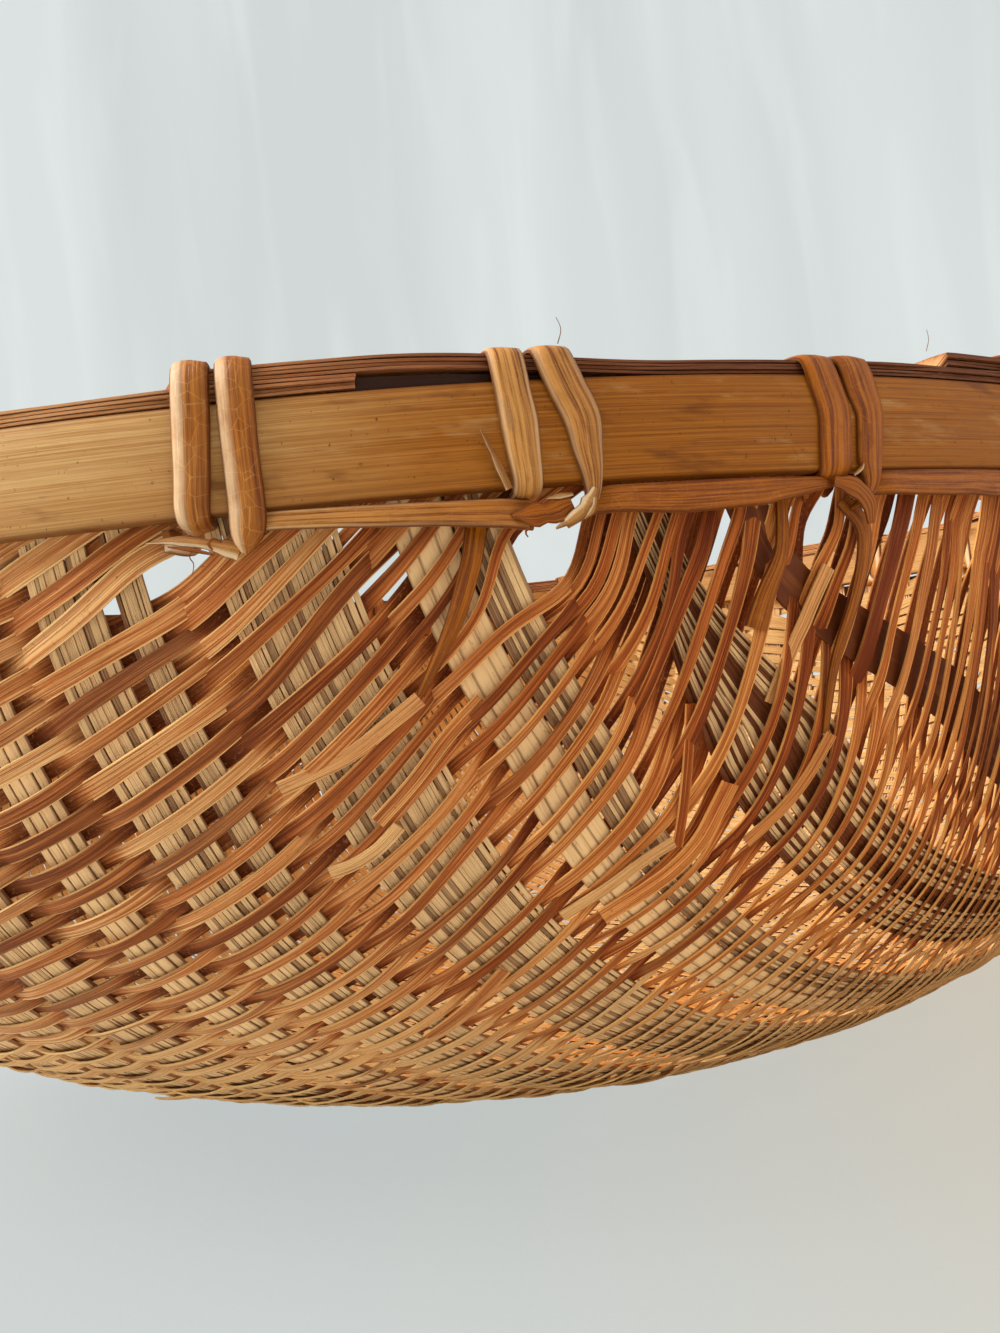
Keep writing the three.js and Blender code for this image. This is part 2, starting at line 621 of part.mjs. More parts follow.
// Lashing strands, each round its own pairs
const strandCount = Math.floor(PAIR_COUNT / PAIRS_PER_STRAND);
for (let k = 0; k < strandCount; k++) {
  const first = 1 - PAIRS_PER_STRAND + k * PAIRS_PER_STRAND;
  add(`lashing_${String(k + 1).padStart(2, "0")}`, strand(first), rattanFinish);
}

export default basket;
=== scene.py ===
"""A deep oval basket of bamboo splits: its weave, hoops, filler and rattan lashing, made strip by strip."""
import math

import bpy
import numpy as np
from bpy.props import FloatProperty, FloatVectorProperty, IntProperty, PointerProperty
from mathutils import Matrix, Vector


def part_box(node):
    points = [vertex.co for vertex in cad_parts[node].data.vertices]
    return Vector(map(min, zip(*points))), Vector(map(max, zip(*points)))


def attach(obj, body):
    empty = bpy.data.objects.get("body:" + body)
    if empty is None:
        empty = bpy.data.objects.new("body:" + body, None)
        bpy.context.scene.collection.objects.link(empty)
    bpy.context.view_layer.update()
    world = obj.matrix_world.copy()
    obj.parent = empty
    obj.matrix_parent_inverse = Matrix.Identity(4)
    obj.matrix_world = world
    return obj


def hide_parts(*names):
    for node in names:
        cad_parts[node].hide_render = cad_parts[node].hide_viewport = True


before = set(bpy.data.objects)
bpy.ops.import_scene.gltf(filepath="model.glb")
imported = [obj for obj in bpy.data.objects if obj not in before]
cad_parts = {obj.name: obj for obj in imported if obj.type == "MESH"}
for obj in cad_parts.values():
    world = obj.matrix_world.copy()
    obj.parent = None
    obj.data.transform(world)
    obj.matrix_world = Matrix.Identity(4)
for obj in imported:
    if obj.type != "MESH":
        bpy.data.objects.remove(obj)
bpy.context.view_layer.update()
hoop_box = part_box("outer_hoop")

bl_info = {
    "name": "Bamboo winnowing basket",
    "version": (1, 0, 0),
    "blender": (4, 5, 0),
    "location": "3D View > Sidebar > Basket",
    "description": "Weaves a deep oval basket of bamboo splits and binds its rim with rattan",
    "category": "Object",
}

MM = 0.001

# What each piece's random draws start from.
SEEDS = {"wefts": 5, "weft lines": 11, "ribs": 23, "hoops": 31, "filler": 41, "lashing": 53}

# How close the places along each kind of strip are, in millimetres.
WEFT_STEP = 2.5
SPLIT_STEP = 5.2
HOOP_STEP = 4.0
FILLER_STEP = 3.0
TURN_STEP = 1.3
RUN_STEP = 1.5
SCRAP_STEP = 0.7


def length(name, description, millimetres):
    size = millimetres * MM
    return FloatProperty(name=name, description=description, default=size, unit="LENGTH", precision=4)


def colour(name, description, red, green, blue):
    """A colour as it renders, its red, green and blue from 0 to 255."""
    linear = [linear_from_byte(value) for value in (red, green, blue)]
    return FloatVectorProperty(
        name=name, description=description, default=linear, subtype="COLOR", min=0, max=1)


def linear_from_byte(value):
    share = value / 255
    return share / 12.92 if share <= 0.04045 else ((share + 0.055) / 1.055) ** 2.4


class BasketForm(bpy.types.PropertyGroup):
    half_width: length("Half width", "Middle to the outer hoop's face across the ribs", hoop_box[1][0] / MM)
    half_length: length("Half length", "Middle to the outer hoop's face along the ribs", hoop_box[1][1] / MM)
    depth: length("Depth", "Resting face to the hoops' top edges", hoop_box[1][2] / MM)
    hoop_height: length("Hoop height", "Height of both hoops", 20)
    hoop_thickness: length("Hoop thickness", "Thickness of each hoop", 4)
    weave_inset: length("Weave inset", "Outer hoop's face to the middle of the weave", 5.7)
    rim_thickness: length("Rim thickness", "Outer hoop's outer face to the inner hoop's inner face", 11.4)


class WeaveForm(bpy.types.PropertyGroup):
    weft_pitch: length("Weft pitch", "Distance between neighbouring wefts on the floor and the belly", 3.08)
    rim_weft_pitch: length("Weft pitch by the rim", "Distance between wefts just below the hoops", 3.5)
    weft_width: length("Weft width", "Mean width of a weft", 2.6)
    weft_thickness: length("Weft thickness", "Thickness of a weft", 0.55)
    weft_rise: length("Weft rise", "How far a weft lies from the middle of the ribs it passes", 1.05)
    rib_pitch: length("Rib pitch", "Distance between the middles of neighbouring ribs", 20.8)
    rib_width: length("Rib width", "Width of a rib's bundle of splits", 12.5)
    rib_thickness: length("Rib thickness", "Thickness of a rib's splits", 0.9)
    split_width: length("Split width", "Width of a rib's fine splits", 0.98)
    weft: colour("Weft", "Skin side of the split bamboo", 198, 116, 58)
    weft_dark: colour("Weft shade", "Stained fibres and the rough side", 114, 56, 24)
    weft_pale: colour("Pale weft", "Wefts worn by use", 244, 190, 126)
    weft_edge: colour("Weft edge", "Pale cut edges", 246, 202, 136)
    pith: colour("Pith", "Inner side of the wefts", 222, 180, 118)
    pith_dark: colour("Pith shade", "Streaks on the inner side of the wefts", 190, 136, 74)
    # The oil tint darkens the weave away from the window lamp's side: partly oil, partly painted shade.
    oil: colour("Oil", "Tint of the oiled ends of the basket", 250, 194, 120)
    weft_dust: colour("Weft dust", "Dust and lint where wefts dip under the ribs", 206, 150, 116)
    rib: colour("Rib", "Pith side of the ribs", 252, 202, 142)
    rib_dark: colour("Dark rib", "Skin side of the ribs", 104, 46, 12)


class RimForm(bpy.types.PropertyGroup):
    pairs: IntProperty(name="Pairs", description="Pairs of turns round the rim", default=26, min=4)
    filler_lengths: IntProperty(name="Filler lengths", description="Lengths round the rim", default=10, min=1)
    strand_width: length("Strand width", "Width of the lashing strand", 7.2)
    run_width: length("Run width", "Height of the strand where it runs below the hoop", 5.6)
    hoop: colour("Hoop", "Oiled skin side of the hoops", 178, 104, 20)
    hoop_dark: colour("Hoop grain", "Dark grain of the hoops", 108, 50, 2)
    # Painted light on the hoop where it is painted paler; also its real pale scuffs.
    hoop_lit_and_scuffed: colour("Faded hoop", "Hoop where light has faded it", 216, 172, 112)
    filler: colour("Filler", "Filler strips", 186, 106, 62)
    # Used for the filler's pale edges and for painted light on it.
    filler_pale_and_lit: colour("Filler edge", "Pale edges of the filler strips", 224, 160, 100)
    rattan: colour("Rattan", "Lashing strands", 184, 100, 8)
    rattan_dark: colour("Rattan shade", "Dark grain of the lashing strands", 112, 46, 0)
    # Used for painted light on the strands and for scraps that are pale.
    rattan_pale_and_lit: colour("Pale rattan", "Faded skin of the lashing strands", 234, 172, 96)
    # Painted highlight on the side of the strands that faces the window lamp.
    rattan_highlight: colour("Sunned rattan", "Side of the strands that faces the light", 248, 210, 164)
    rattan_back: colour("Rattan back", "Rough side of the lashing strands", 142, 88, 42)


class SweepForm(bpy.types.PropertyGroup):
    cloth: colour("Cloth", "Floor and backdrop", 224, 231, 230)
    # Painted bounce light: the basket's warm colour thrown on the floor near it.
    cloth_bounce_light: colour("Warm cloth", "Floor where the basket's colour falls on it", 214, 206, 190)


# Numbers as the maker uses them: millimetres, measured from the middle of the basket's foot.

def in_millimetres(group):
    """The sizes of a property group as plain numbers in millimetres."""
    sizes = {}
    for name, prop in group.bl_rna.properties.items():
        if prop.type == "FLOAT" and prop.unit == "LENGTH":
            sizes[name] = getattr(group, name) / MM
    return sizes


def draws(piece):
    return np.random.default_rng(SEEDS[piece])


def own_look(rng, reach=300):
    """A strip's own tone, and where in the grain it starts."""
    return {"tone": rng.random(), "start": rng.random() * reach}


def upright(count):
    return np.tile([0.0, 0.0, 1.0], (count, 1))


def smooth(share):
    share = np.clip(share, 0, 1)
    return share * share * (3 - 2 * share)


def wander(rng, places, spacing, amount):
    """A smooth random change along a strip, whose waves are about twice the spacing long."""
    places = np.asarray(places, float) / spacing
    first = math.floor(places.min())
    knots = rng.normal(size=int(places.max() - first) + 3) * amount
    step = np.floor(places - first).astype(int)
    share = smooth(places - first - step)
    return knots[step] * (1 - share) + knots[step + 1] * share


def unit(vectors):
    return vectors / np.maximum(np.linalg.norm(vectors, axis=-1, keepdims=True), 1e-9)


def heading(points):
    """The direction in which a line runs at each of its points."""
    return unit(np.gradient(points, axis=0))


def running_length(points):
    steps = np.linalg.norm(np.diff(points, axis=0), axis=1)
    return np.concatenate([[0], np.cumsum(steps)])


def resampled(points, spacing, *others):
    """Points every spacing along a line, with other arrays of numbers or vectors taken at the same places."""
    run = running_length(points)
    count = max(2, int(round(run[-1] / spacing)) + 1)
    at = np.linspace(0, run[-1], count)

    def take(values):
        if values.ndim == 1:
            return np.interp(at, run, values)
        return np.stack([np.interp(at, run, column) for column in values.T], axis=1)

    return [take(np.asarray(values, float)) for values in (points, *others)]


def plan_angle(half, x, y):
    """The angle of a place in an oval plan, as its outline is drawn."""
    return np.arctan2(y / half[1], x / half[0])


class Rim:
    """The oval plan of the rim, measured by its arc length."""

    STATIONS = 8193

    def __init__(self, half_width, half_length):
        self.half = np.array([half_width, half_length])
        self.angles = np.linspace(0, 2 * math.pi, self.STATIONS)
        middle = (self.angles[1:] + self.angles[:-1]) / 2
        speed = np.hypot(half_width * np.sin(middle), half_length * np.cos(middle))
        self.arcs = np.concatenate([[0], np.cumsum(speed * np.diff(self.angles))])
        self.perimeter = self.arcs[-1]

    def angle_at(self, arc):
        return np.interp(np.mod(arc, self.perimeter), self.arcs, self.angles)

    def arc_at(self, angle):
        turns = np.floor(angle / (2 * math.pi))
        return np.interp(angle - turns * 2 * math.pi, self.angles, self.arcs) + turns * self.perimeter

    def outward(self, arc):
        angle = self.angle_at(arc)
        level = np.zeros_like(angle)
        return unit(np.stack([np.cos(angle) / self.half[0], np.sin(angle) / self.half[1], level], axis=-1))

    def along(self, arc):
        out = self.outward(arc)
        return np.stack([-out[..., 1], out[..., 0], out[..., 2]], axis=-1)

    def point(self, arc, out, height):
        """A place out from the outer hoop's face by out, at a height."""
        angle = self.angle_at(arc)
        height = np.broadcast_to(height, angle.shape)
        plan = np.stack([self.half[0] * np.cos(angle), self.half[1] * np.sin(angle), height], axis=-1)
        return plan + self.outward(arc) * np.broadcast_to(out, angle.shape)[..., None]


class Bowl:
    """The middle surface of the weave below the hoops, and where its ribs and wefts run on it."""

    # Fullness is the power of the bowl's sections. A higher one gives a steeper wall and a flatter floor.
    FULLNESS = 3.7
    FULLNESS_AT_SIDES = 0.2
    FULLNESS_LEAN = 0.13
    LEAN_ANGLE = math.radians(47)
    WALL_CURVE = 2.15
    FLOOR_HEIGHT = 2.1
    RIB_LEAN = 0.045
    RIB_LEAN_DEPTH = 70
    SECTIONS = 361
    STEPS = 161
    FINE_STEPS = 801

    def __init__(self, half_width, half_length, mouth, top):
        self.half = (half_width, half_length)
        self.mouth = mouth
        self.top = top
        self.turns = np.linspace(-math.pi / 2, math.pi / 2, self.SECTIONS)
        self.shares = np.linspace(0, 1, self.STEPS)
        self.lengths, self.places = {}, {}
        for side in (1, -1):
            self.lengths[side], self.places[side] = self.profiles(side)

    def power(self, x, y):
        angle = plan_angle(self.half, x, y)
        sides = self.FULLNESS_AT_SIDES * np.cos(2 * angle)
        return self.FULLNESS * np.exp(sides + self.FULLNESS_LEAN * np.cos(angle - self.LEAN_ANGLE))

    def height(self, x, y):
        spread = np.minimum(np.hypot(x / self.half[0], y / self.half[1]), 1)
        drop = (1 - spread ** self.power(x, y)) ** (1 / self.WALL_CURVE)
        return self.mouth - (self.mouth - self.FLOOR_HEIGHT) * drop

    def profiles(self, side):
        """Cross sections along the ribs, each from the middle line to the mouth, at equal steps."""
        near_mouth = 1 - (1 - np.linspace(0, 1, self.FINE_STEPS)) ** self.WALL_CURVE
        lengths, places = [], []
        for turn in self.turns:
            x = self.half[0] * math.sin(turn)
            y = side * self.half[1] * max(math.cos(turn), 1e-9) * near_mouth
            z = self.height(x, y)
            run = running_length(np.stack([y, z], axis=1))
            lengths.append(run[-1])
            at = self.shares * run[-1]
            places.append(np.stack([np.interp(at, run, y), np.interp(at, run, z)], axis=1))
        return np.array(lengths), np.array(places)

    def reach(self, turn, side):
        """Length of the cross section from the middle line to the mouth."""
        return np.interp(turn, self.turns, self.lengths[side])

    def point(self, x, share, side):
        """The place at x, and at a share of the way from the middle line to the mouth."""
        turn = np.arcsin(np.clip(x / self.half[0], -1, 1))
        column = (turn - self.turns[0]) / (self.turns[1] - self.turns[0])
        row = np.clip(share, 0, 1) * (len(self.shares) - 1)
        i = np.clip(column.astype(int), 0, len(self.turns) - 2)
        j = np.clip(row.astype(int), 0, len(self.shares) - 2)
        right = (column - i)[:, None]
        up = (row - j)[:, None]
        table = self.places[side]
        low = table[i, j] * (1 - right) + table[i + 1, j] * right
        high = table[i, j + 1] * (1 - right) + table[i + 1, j + 1] * right
        return np.column_stack([x, low * (1 - up) + high * up])

    def outward(self, points):
        """Normals of the surface at points on it, level on the wall between the hoops."""
        x, y = points[:, 0], points[:, 1]
        power = self.power(x, y)
        spread = np.maximum(np.hypot(x / self.half[0], y / self.half[1]), 1e-3)
        full = self.mouth - self.FLOOR_HEIGHT
        drop = np.clip((self.mouth - points[:, 2]) / full, 0, 1)
        side = power * spread ** (power - 2)
        down = self.WALL_CURVE * drop ** (self.WALL_CURVE - 1) / full
        return unit(np.column_stack([side * x / self.half[0] ** 2, side * y / self.half[1] ** 2, -down]))

    def lean(self, height):
        """Share of its distance from the middle by which a rib leans in at a height."""
        return self.RIB_LEAN * np.maximum(0, 1 - (self.top - height) / self.RIB_LEAN_DEPTH)


# Cross sections of strips: places across (-1 to 1) and through (-1 to 1), counted round from the back.
SPLIT = np.array([(-1, -1), (1, -1), (1, 0.55), (0, 1), (-1, 0.55)])
LAID_SPLIT = np.array([(-1, -0.8), (1, -0.8), (1, 0.7), (0.86, 1), (-0.86, 1), (-1, 0.7)])
HALF_ROUND = np.array([
    (-1, -0.5), (1, -0.5), (1, 0.0), (0.9, 0.42), (0.48, 0.66),
    (0.1, 0.86), (-0.36, 0.9), (-0.8, 0.66), (-1, 0.0),
])
LATH = np.array([
    (-1, -1), (1, -1), (1, 0.5), (0.97, 0.86), (0.9, 1), (0.45, 1.08), (0, 1.1),
    (-0.45, 1.08), (-0.9, 1), (-0.97, 0.86), (-1, 0.5),
])
FLAT_STRAND = np.array([
    (-1, -0.6), (1, -0.6), (1, 0.1), (0.9, 0.55), (0.4, 0.9), (-0.4, 1), (-0.9, 0.6), (-1, 0.1),
])
HAIR = np.array([(-1, -0.6), (1, -0.6), (0, 1)])


class Strips:
    """Gathers strips and writes them as one mesh, with marks that say where on its strip each corner is."""

    # The worn mark holds wear, and also painted light and shade: below 0 where shade falls, higher where the
    # rim is painted paler. The oiled mark is partly oil and partly painted shade.
    MARKS = ("along", "across", "rise", "tone", "worn", "oiled")

    def __init__(self):
        self.corners = []
        self.quads = []
        self.caps = []
        self.marks = {name: [] for name in self.MARKS}
        self.count = 0

    def add(self, middle, width, thick, section, normal=None, across=None,
            tone=0.5, start=0.0, worn=0.0, oiled=0.0):
        """One closed strip through points, flat on the normals given or wide in the directions across."""
        along = heading(middle)
        if across is None:
            across = unit(np.cross(normal, along))
        else:
            across = unit(across - along * np.sum(across * along, axis=1, keepdims=True))
        through = np.cross(along, across)
        stations = len(middle)
        width = np.broadcast_to(np.asarray(width, float), stations) / 2
        thick = np.broadcast_to(np.asarray(thick, float), stations) / 2
        sideways = across[:, None, :] * (section[:, 0][None, :] * width[:, None])[..., None]
        upward = through[:, None, :] * (section[:, 1][None, :] * thick[:, None])[..., None]
        rings = middle[:, None, :] + sideways + upward
        size = len(section)
        self.corners.append(rings.reshape(-1, 3))
        ring = np.arange(stations - 1)[:, None] * size
        place = np.arange(size)[None, :]
        following = (place + 1) % size
        corners = (ring + place, ring + following, ring + size + following, ring + size + place)
        faces = np.stack(corners, axis=-1)
        self.quads.append(faces.reshape(-1, 4) + self.count)
        self.caps.append(np.arange(size)[::-1] + self.count)
        self.caps.append(np.arange(size) + self.count + (stations - 1) * size)
        by_station = {"along": running_length(middle) + start, "tone": tone, "worn": worn, "oiled": oiled}
        for name, values in by_station.items():
            self.marks[name].append(np.repeat(np.broadcast_to(values, stations), size))
        for name, values in (("across", section[:, 0]), ("rise", section[:, 1])):
            self.marks[name].append(np.tile(values, stations))
        self.count += stations * size

    def piece(self, name, finish, slot, replaced, crease=40):
        """The object of all strips, riding on the basket and standing for the solids named."""
        corners = np.concatenate(self.corners) * MM
        quads = np.concatenate(self.quads)
        mesh = bpy.data.meshes.new(name)
        mesh.vertices.add(len(corners))
        mesh.vertices.foreach_set("co", corners.ravel())
        loops = np.concatenate([quads.ravel(), *self.caps])
        mesh.loops.add(len(loops))
        mesh.loops.foreach_set("vertex_index", loops.astype(np.int32))
        sizes = np.concatenate([np.full(len(quads), 4), [len(cap) for cap in self.caps]])
        starts = np.concatenate([[0], np.cumsum(sizes)[:-1]])
        mesh.polygons.add(len(sizes))
        mesh.polygons.foreach_set("loop_start", starts.astype(np.int32))
        mesh.update(calc_edges=True)
        for mark, values in self.marks.items():
            layer = mesh.attributes.new(mark, "FLOAT", "POINT")
            layer.data.foreach_set("value", np.concatenate(values).astype(np.float32))
        mesh.shade_smooth()
        mesh.set_sharp_from_angle(angle=math.radians(crease))
        mesh.materials.append(finish)
        made = bpy.data.objects.new(name, mesh)
        bpy.context.scene.collection.objects.link(made)
        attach(made, "root")
        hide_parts(*replaced)


def arithmetic(operation):
    """An operator of a value, with the value first and with the value last."""
    def first(value, other):
        return value.math(operation, value, other)

    def last(value, other):
        return value.math(operation, other, value)

    return first, last


class Value:
    """A socket of a finish, with arithmetic that adds Math nodes."""

    def __init__(self, finish, socket):
        self.finish = finish
        self.socket = socket

    def math(self, operation, *terms):
        return self.finish.node("ShaderNodeMath", {"operation": operation}, dict(enumerate(terms)))

    __add__, __radd__ = arithmetic("ADD")
    __sub__, __rsub__ = arithmetic("SUBTRACT")
    __mul__, __rmul__ = arithmetic("MULTIPLY")
    __pow__, __rpow__ = arithmetic("POWER")

    def size(self):
        return self.math("ABSOLUTE", self)

    def between(self, low, high):
        """How far the value is from low to high, from 0 to 1."""
        inputs = {"Value": self, "From Min": low, "From Max": high}
        return self.finish.node("ShaderNodeMapRange", {"interpolation_type": "SMOOTHSTEP"}, inputs)


class Finish:
    """A material being made, with one method that adds any node."""

    def __init__(self, name):
        self.material = bpy.data.materials.new(name)
        self.material.use_nodes = True
        self.tree = self.material.node_tree
        self.tree.nodes.clear()

    def node(self, kind, settings, inputs, output=0):
        made = self.tree.nodes.new(kind)
        for name, value in settings.items():
            setattr(made, name, value)
        for name, value in inputs.items():
            self.feed(made, name, value)
        if isinstance(output, str):
            return Value(self, made.outputs[output])
        outputs = [socket for socket in made.outputs if socket.enabled]
        return Value(self, outputs[output]) if outputs else None

    def feed(self, made, name, value):
        if isinstance(name, int):
            socket = made.inputs[name]
        else:
            socket = next(each for each in made.inputs if each.enabled and each.name == name)
        if isinstance(value, Value):
            self.tree.links.new(value.socket, socket)
        elif socket.type == "RGBA":
            socket.default_value = (*value, 1)
        else:
            socket.default_value = value

    def mark(self, name):
        return self.node("ShaderNodeAttribute", {"attribute_name": name}, {}, "Fac")

    def at(self, x, y, z):
        return self.node("ShaderNodeCombineXYZ", {}, {"X": x, "Y": y, "Z": z})

    def noise(self, place, scale, detail=2.0, roughness=0.5, distortion=0.0):
        return self.node("ShaderNodeTexNoise", {}, {
            "Vector": place, "Scale": scale, "Detail": detail, "Roughness": roughness,
            "Distortion": distortion})

    def mix(self, factor, a, b, blend="MIX"):
        settings = {"data_type": "RGBA", "blend_type": blend}
        return self.node("ShaderNodeMix", settings, {"Factor": factor, "A": a, "B": b})

    def over(self, base, *layers):
        """The base with layers over it, each given by its share from 0 to 1 and its colour."""
        for share, shade in layers:
            base = self.mix(share, base, shade)
        return base

    def closed(self, shader):
        self.node("ShaderNodeOutputMaterial", {"is_active_output": True}, {"Surface": shader})
        return self.material


class StripFinish(Finish):
    """A finish for strips: grain drawn out along them, from the marks that each strip carries."""

    def __init__(self, name, lanes):
        super().__init__(name)
        self.along = self.mark("along")
        self.across = self.mark("across")
        self.tone = self.mark("tone")
        self.lane = self.tone * lanes

    def grain(self, along, across, scale, detail, roughness):
        """Noise with so much change along and across a strip, and other noise on each strip."""
        place = self.at(self.along * along, self.across * across, self.lane)
        return self.noise(place, scale, detail, roughness)

    def edges(self, low):
        """From 0 at a place across the strip to 1 at both its edges."""
        return self.across.size().between(low, 1.0)

    def done(self, base, roughness, relief, relief_height, specular):
        """Closes the finish: its colour, roughness, relief with its height in millimetres, and sheen."""
        bump = {"Strength": 1.0, "Distance": relief_height * MM, "Height": relief}
        return self.closed(self.node("ShaderNodeBsdfPrincipled", {}, {
            "Base Color": base, "Roughness": roughness, "Specular IOR Level": specular,
            "Normal": self.node("ShaderNodeBump", {}, bump),
        }))


def darker(shade, share):
    return tuple(value * share for value in shade)


def mixed(a, b, share):
    return tuple(p * (1 - share) + q * share for p, q in zip(a, b))


# Finishes

def weft_finish(colours):
    """Split bamboo stained reddish: ridged and speckled, with pale cut edges, darker where it dips under the
    ribs, which is painted shade.
    """
    finish = StripFinish("stained_weft_bamboo", 97.0)
    worn = finish.mark("worn")
    bands = finish.grain(0.012, 1.0, 1.8, 2.0, 0.55)
    fibres = finish.grain(0.03, 3.2, 1.7, 3.0, 0.7)
    ridges = finish.grain(0.012, 5.5, 1.6, 1.0, 0.5)
    specks = finish.grain(0.8, 1.6, 1.5, 3.0, 0.7)
    light = bands * 0.45 + fibres * 0.45 + finish.tone * 0.2 + worn * 0.08
    rubbed = worn.between(0.3, 1.0)
    # Painted shade where the weft dips under a rib, from the mark's values below 0.
    dip_shade = worn.between(0.0, -0.7)
    pith = finish.mix(fibres.between(0.3, 0.65), colours.pith_dark, colours.pith)
    cut = finish.across.size().between(0.84, 0.97)
    edge = cut * (1 - dip_shade * 0.8) * (bands + finish.tone * 0.3).between(0.4, 0.8)
    dry = finish.over(
        colours.weft_dark,
        (light.between(0.4, 0.62), colours.weft),
        (light.between(0.56, 0.74), colours.weft_pale),
        (worn.between(0.0, 1.0) * fibres.between(0.25, 0.6), colours.weft_pale),
        (ridges.between(0.52, 0.6) * (0.5 - rubbed * 0.25), colours.weft_dark),
        (specks.between(0.6, 0.72) * (0.5 - rubbed * 0.3), colours.weft_dark),
        (dip_shade * 0.5, darker(colours.weft_dark, 0.7)),
        (dip_shade * specks.between(0.45, 0.32) * 0.5, colours.weft_dust),
        (finish.mark("rise").between(-0.4, -0.9), pith),
        (edge, colours.weft_edge),
    )
    # The oil tint, strongest away from the window lamp: partly oil, partly painted shade.
    base = finish.mix(finish.mark("oiled") * (0.75 - rubbed * 0.6), dry, colours.oil, "MULTIPLY")
    return finish.done(base, 0.5 + specks * 0.25, fibres + ridges, 0.16, 0.12)


def rib_finish(colours):
    """Pale split bamboo with long fibres and small brown flecks, darker where its skin side shows."""
    finish = StripFinish("pale_rib_bamboo", 611.0)
    fibres = finish.grain(0.02, 1.3, 2.0, 3.0, 0.65)
    flecks = finish.grain(0.2, 1.2, 1.6, 3.0, 0.7)
    ridges = finish.grain(0.015, 1.6, 1.5, 1.0, 0.5)
    base = finish.over(
        colours.rib,
        ((finish.tone + fibres * 0.3 + ridges * 0.35).between(0.4, 1.2), colours.rib_dark),
        (fibres.between(0.5, 0.75) * 0.55, mixed(colours.rib_dark, colours.weft, 0.5)),
        (flecks.between(0.6, 0.74) * 0.6, colours.rib_dark),
        # Painted shade: darker at the edges of each split, for the dark gaps between splits.
        (finish.edges(0.72) * 0.6, colours.rib_dark),
    )
    return finish.done(base, 0.5 + fibres * 0.2, fibres + ridges, 0.2, 0.2)


def hoop_finish(colours):
    """Bamboo skin with fine level grain, olive tan where painted paler and warm brown elsewhere: painted
    light and shade.
    """
    finish = StripFinish("grained_hoop_bamboo", 31.0)
    along, across = finish.along, finish.across
    grain = finish.grain(0.004, 6.5, 3.0, 5.0, 0.75)
    fine = finish.grain(0.03, 24.0, 2.0, 2.0, 0.6)
    stains = finish.noise(finish.at(along * 0.02, across * 0.8 + along * 0.006, finish.lane), 1.6, 4.0, 0.65)
    specks = finish.grain(0.6, 5.0, 1.6, 2.0, 0.6)
    patches = finish.grain(0.02, 0.9, 1.5, 4.0, 0.6)
    marks = finish.grain(0.35, 2.5, 1.6, 3.0, 0.65)
    dark = colours.hoop_dark
    warm = mixed(colours.hoop, dark, 0.3)
    brown = finish.mix(grain.between(0.26, 0.7), mixed(dark, colours.hoop, 0.15), colours.hoop)
    olive = finish.over(
        mixed(warm, colours.hoop_lit_and_scuffed, 0.3),
        (grain.between(0.3, 0.66), colours.hoop_lit_and_scuffed),
        ((across + patches).between(0.9, -0.3) * 0.5, mixed(warm, colours.hoop_lit_and_scuffed, 0.25)),
    )
    base = finish.over(
        brown,
        # Painted light: olive tan where the mark is high.
        ((finish.mark("worn") + patches * 0.5 - 0.25).between(0.1, 0.9), olive),
        (fine.between(0.56, 0.72) * 0.35, dark),
        (stains.between(0.46, 0.3) * fine.between(0.35, 0.6) * 0.35, colours.hoop_lit_and_scuffed),
        (stains.between(0.54, 0.7) * 0.65, darker(dark, 0.8)),
        (specks.between(0.7, 0.76) * 0.7, darker(dark, 0.4)),
        (marks.between(0.66, 0.74) * 0.5, darker(dark, 0.5)),
        (finish.edges(0.9) * 0.7, darker(dark, 0.8)),
    )
    return finish.done(base, 0.36 + grain * 0.25, grain + fine * 0.5, 0.12, 0.16)


def filler_finish(colours):
    """Cut edges of laid strips: reddish brown and fibrous, pale along the top of each; paler where painted
    light falls and very dark elsewhere.
    """
    finish = StripFinish("laid_filler_bamboo", 43.0)
    along, across, lane = finish.along, finish.across, finish.lane
    rise = finish.mark("rise")
    worn = finish.mark("worn")
    fibres = finish.noise(finish.at(along * 0.03, across * 3.0, rise * 2.0 + lane), 2.0, 3.0, 0.65)
    flecks = finish.noise(finish.at(along * 0.4, across * 2.0, rise + lane), 2.0, 2.0, 0.6)
    filler = colours.filler
    rosy = finish.mix(fibres.between(0.3, 0.6), darker(filler, 0.45), filler)
    base = finish.over(
        darker(filler, 0.22),
        (fibres.between(0.35, 0.65), darker(filler, 0.66)),
        # Painted light and shade: from very dark where the mark is low to pale where it is high.
        (worn.between(0.02, 0.45), rosy),
        ((worn + fibres * 0.4).between(0.3, 1.1), colours.filler_pale_and_lit),
        (rise.between(0.1, 0.55) * (0.1 + worn * 0.75), colours.filler_pale_and_lit),
        (flecks.between(0.6, 0.75) * 0.45, darker(filler, 0.35)),
        # Painted shadow: near black on the strip in the wedge under a length.
        (worn.between(-0.3, -0.8), darker(filler, 0.08)),
    )
    return finish.done(base, 0.5, fibres, 0.25, 0.2)


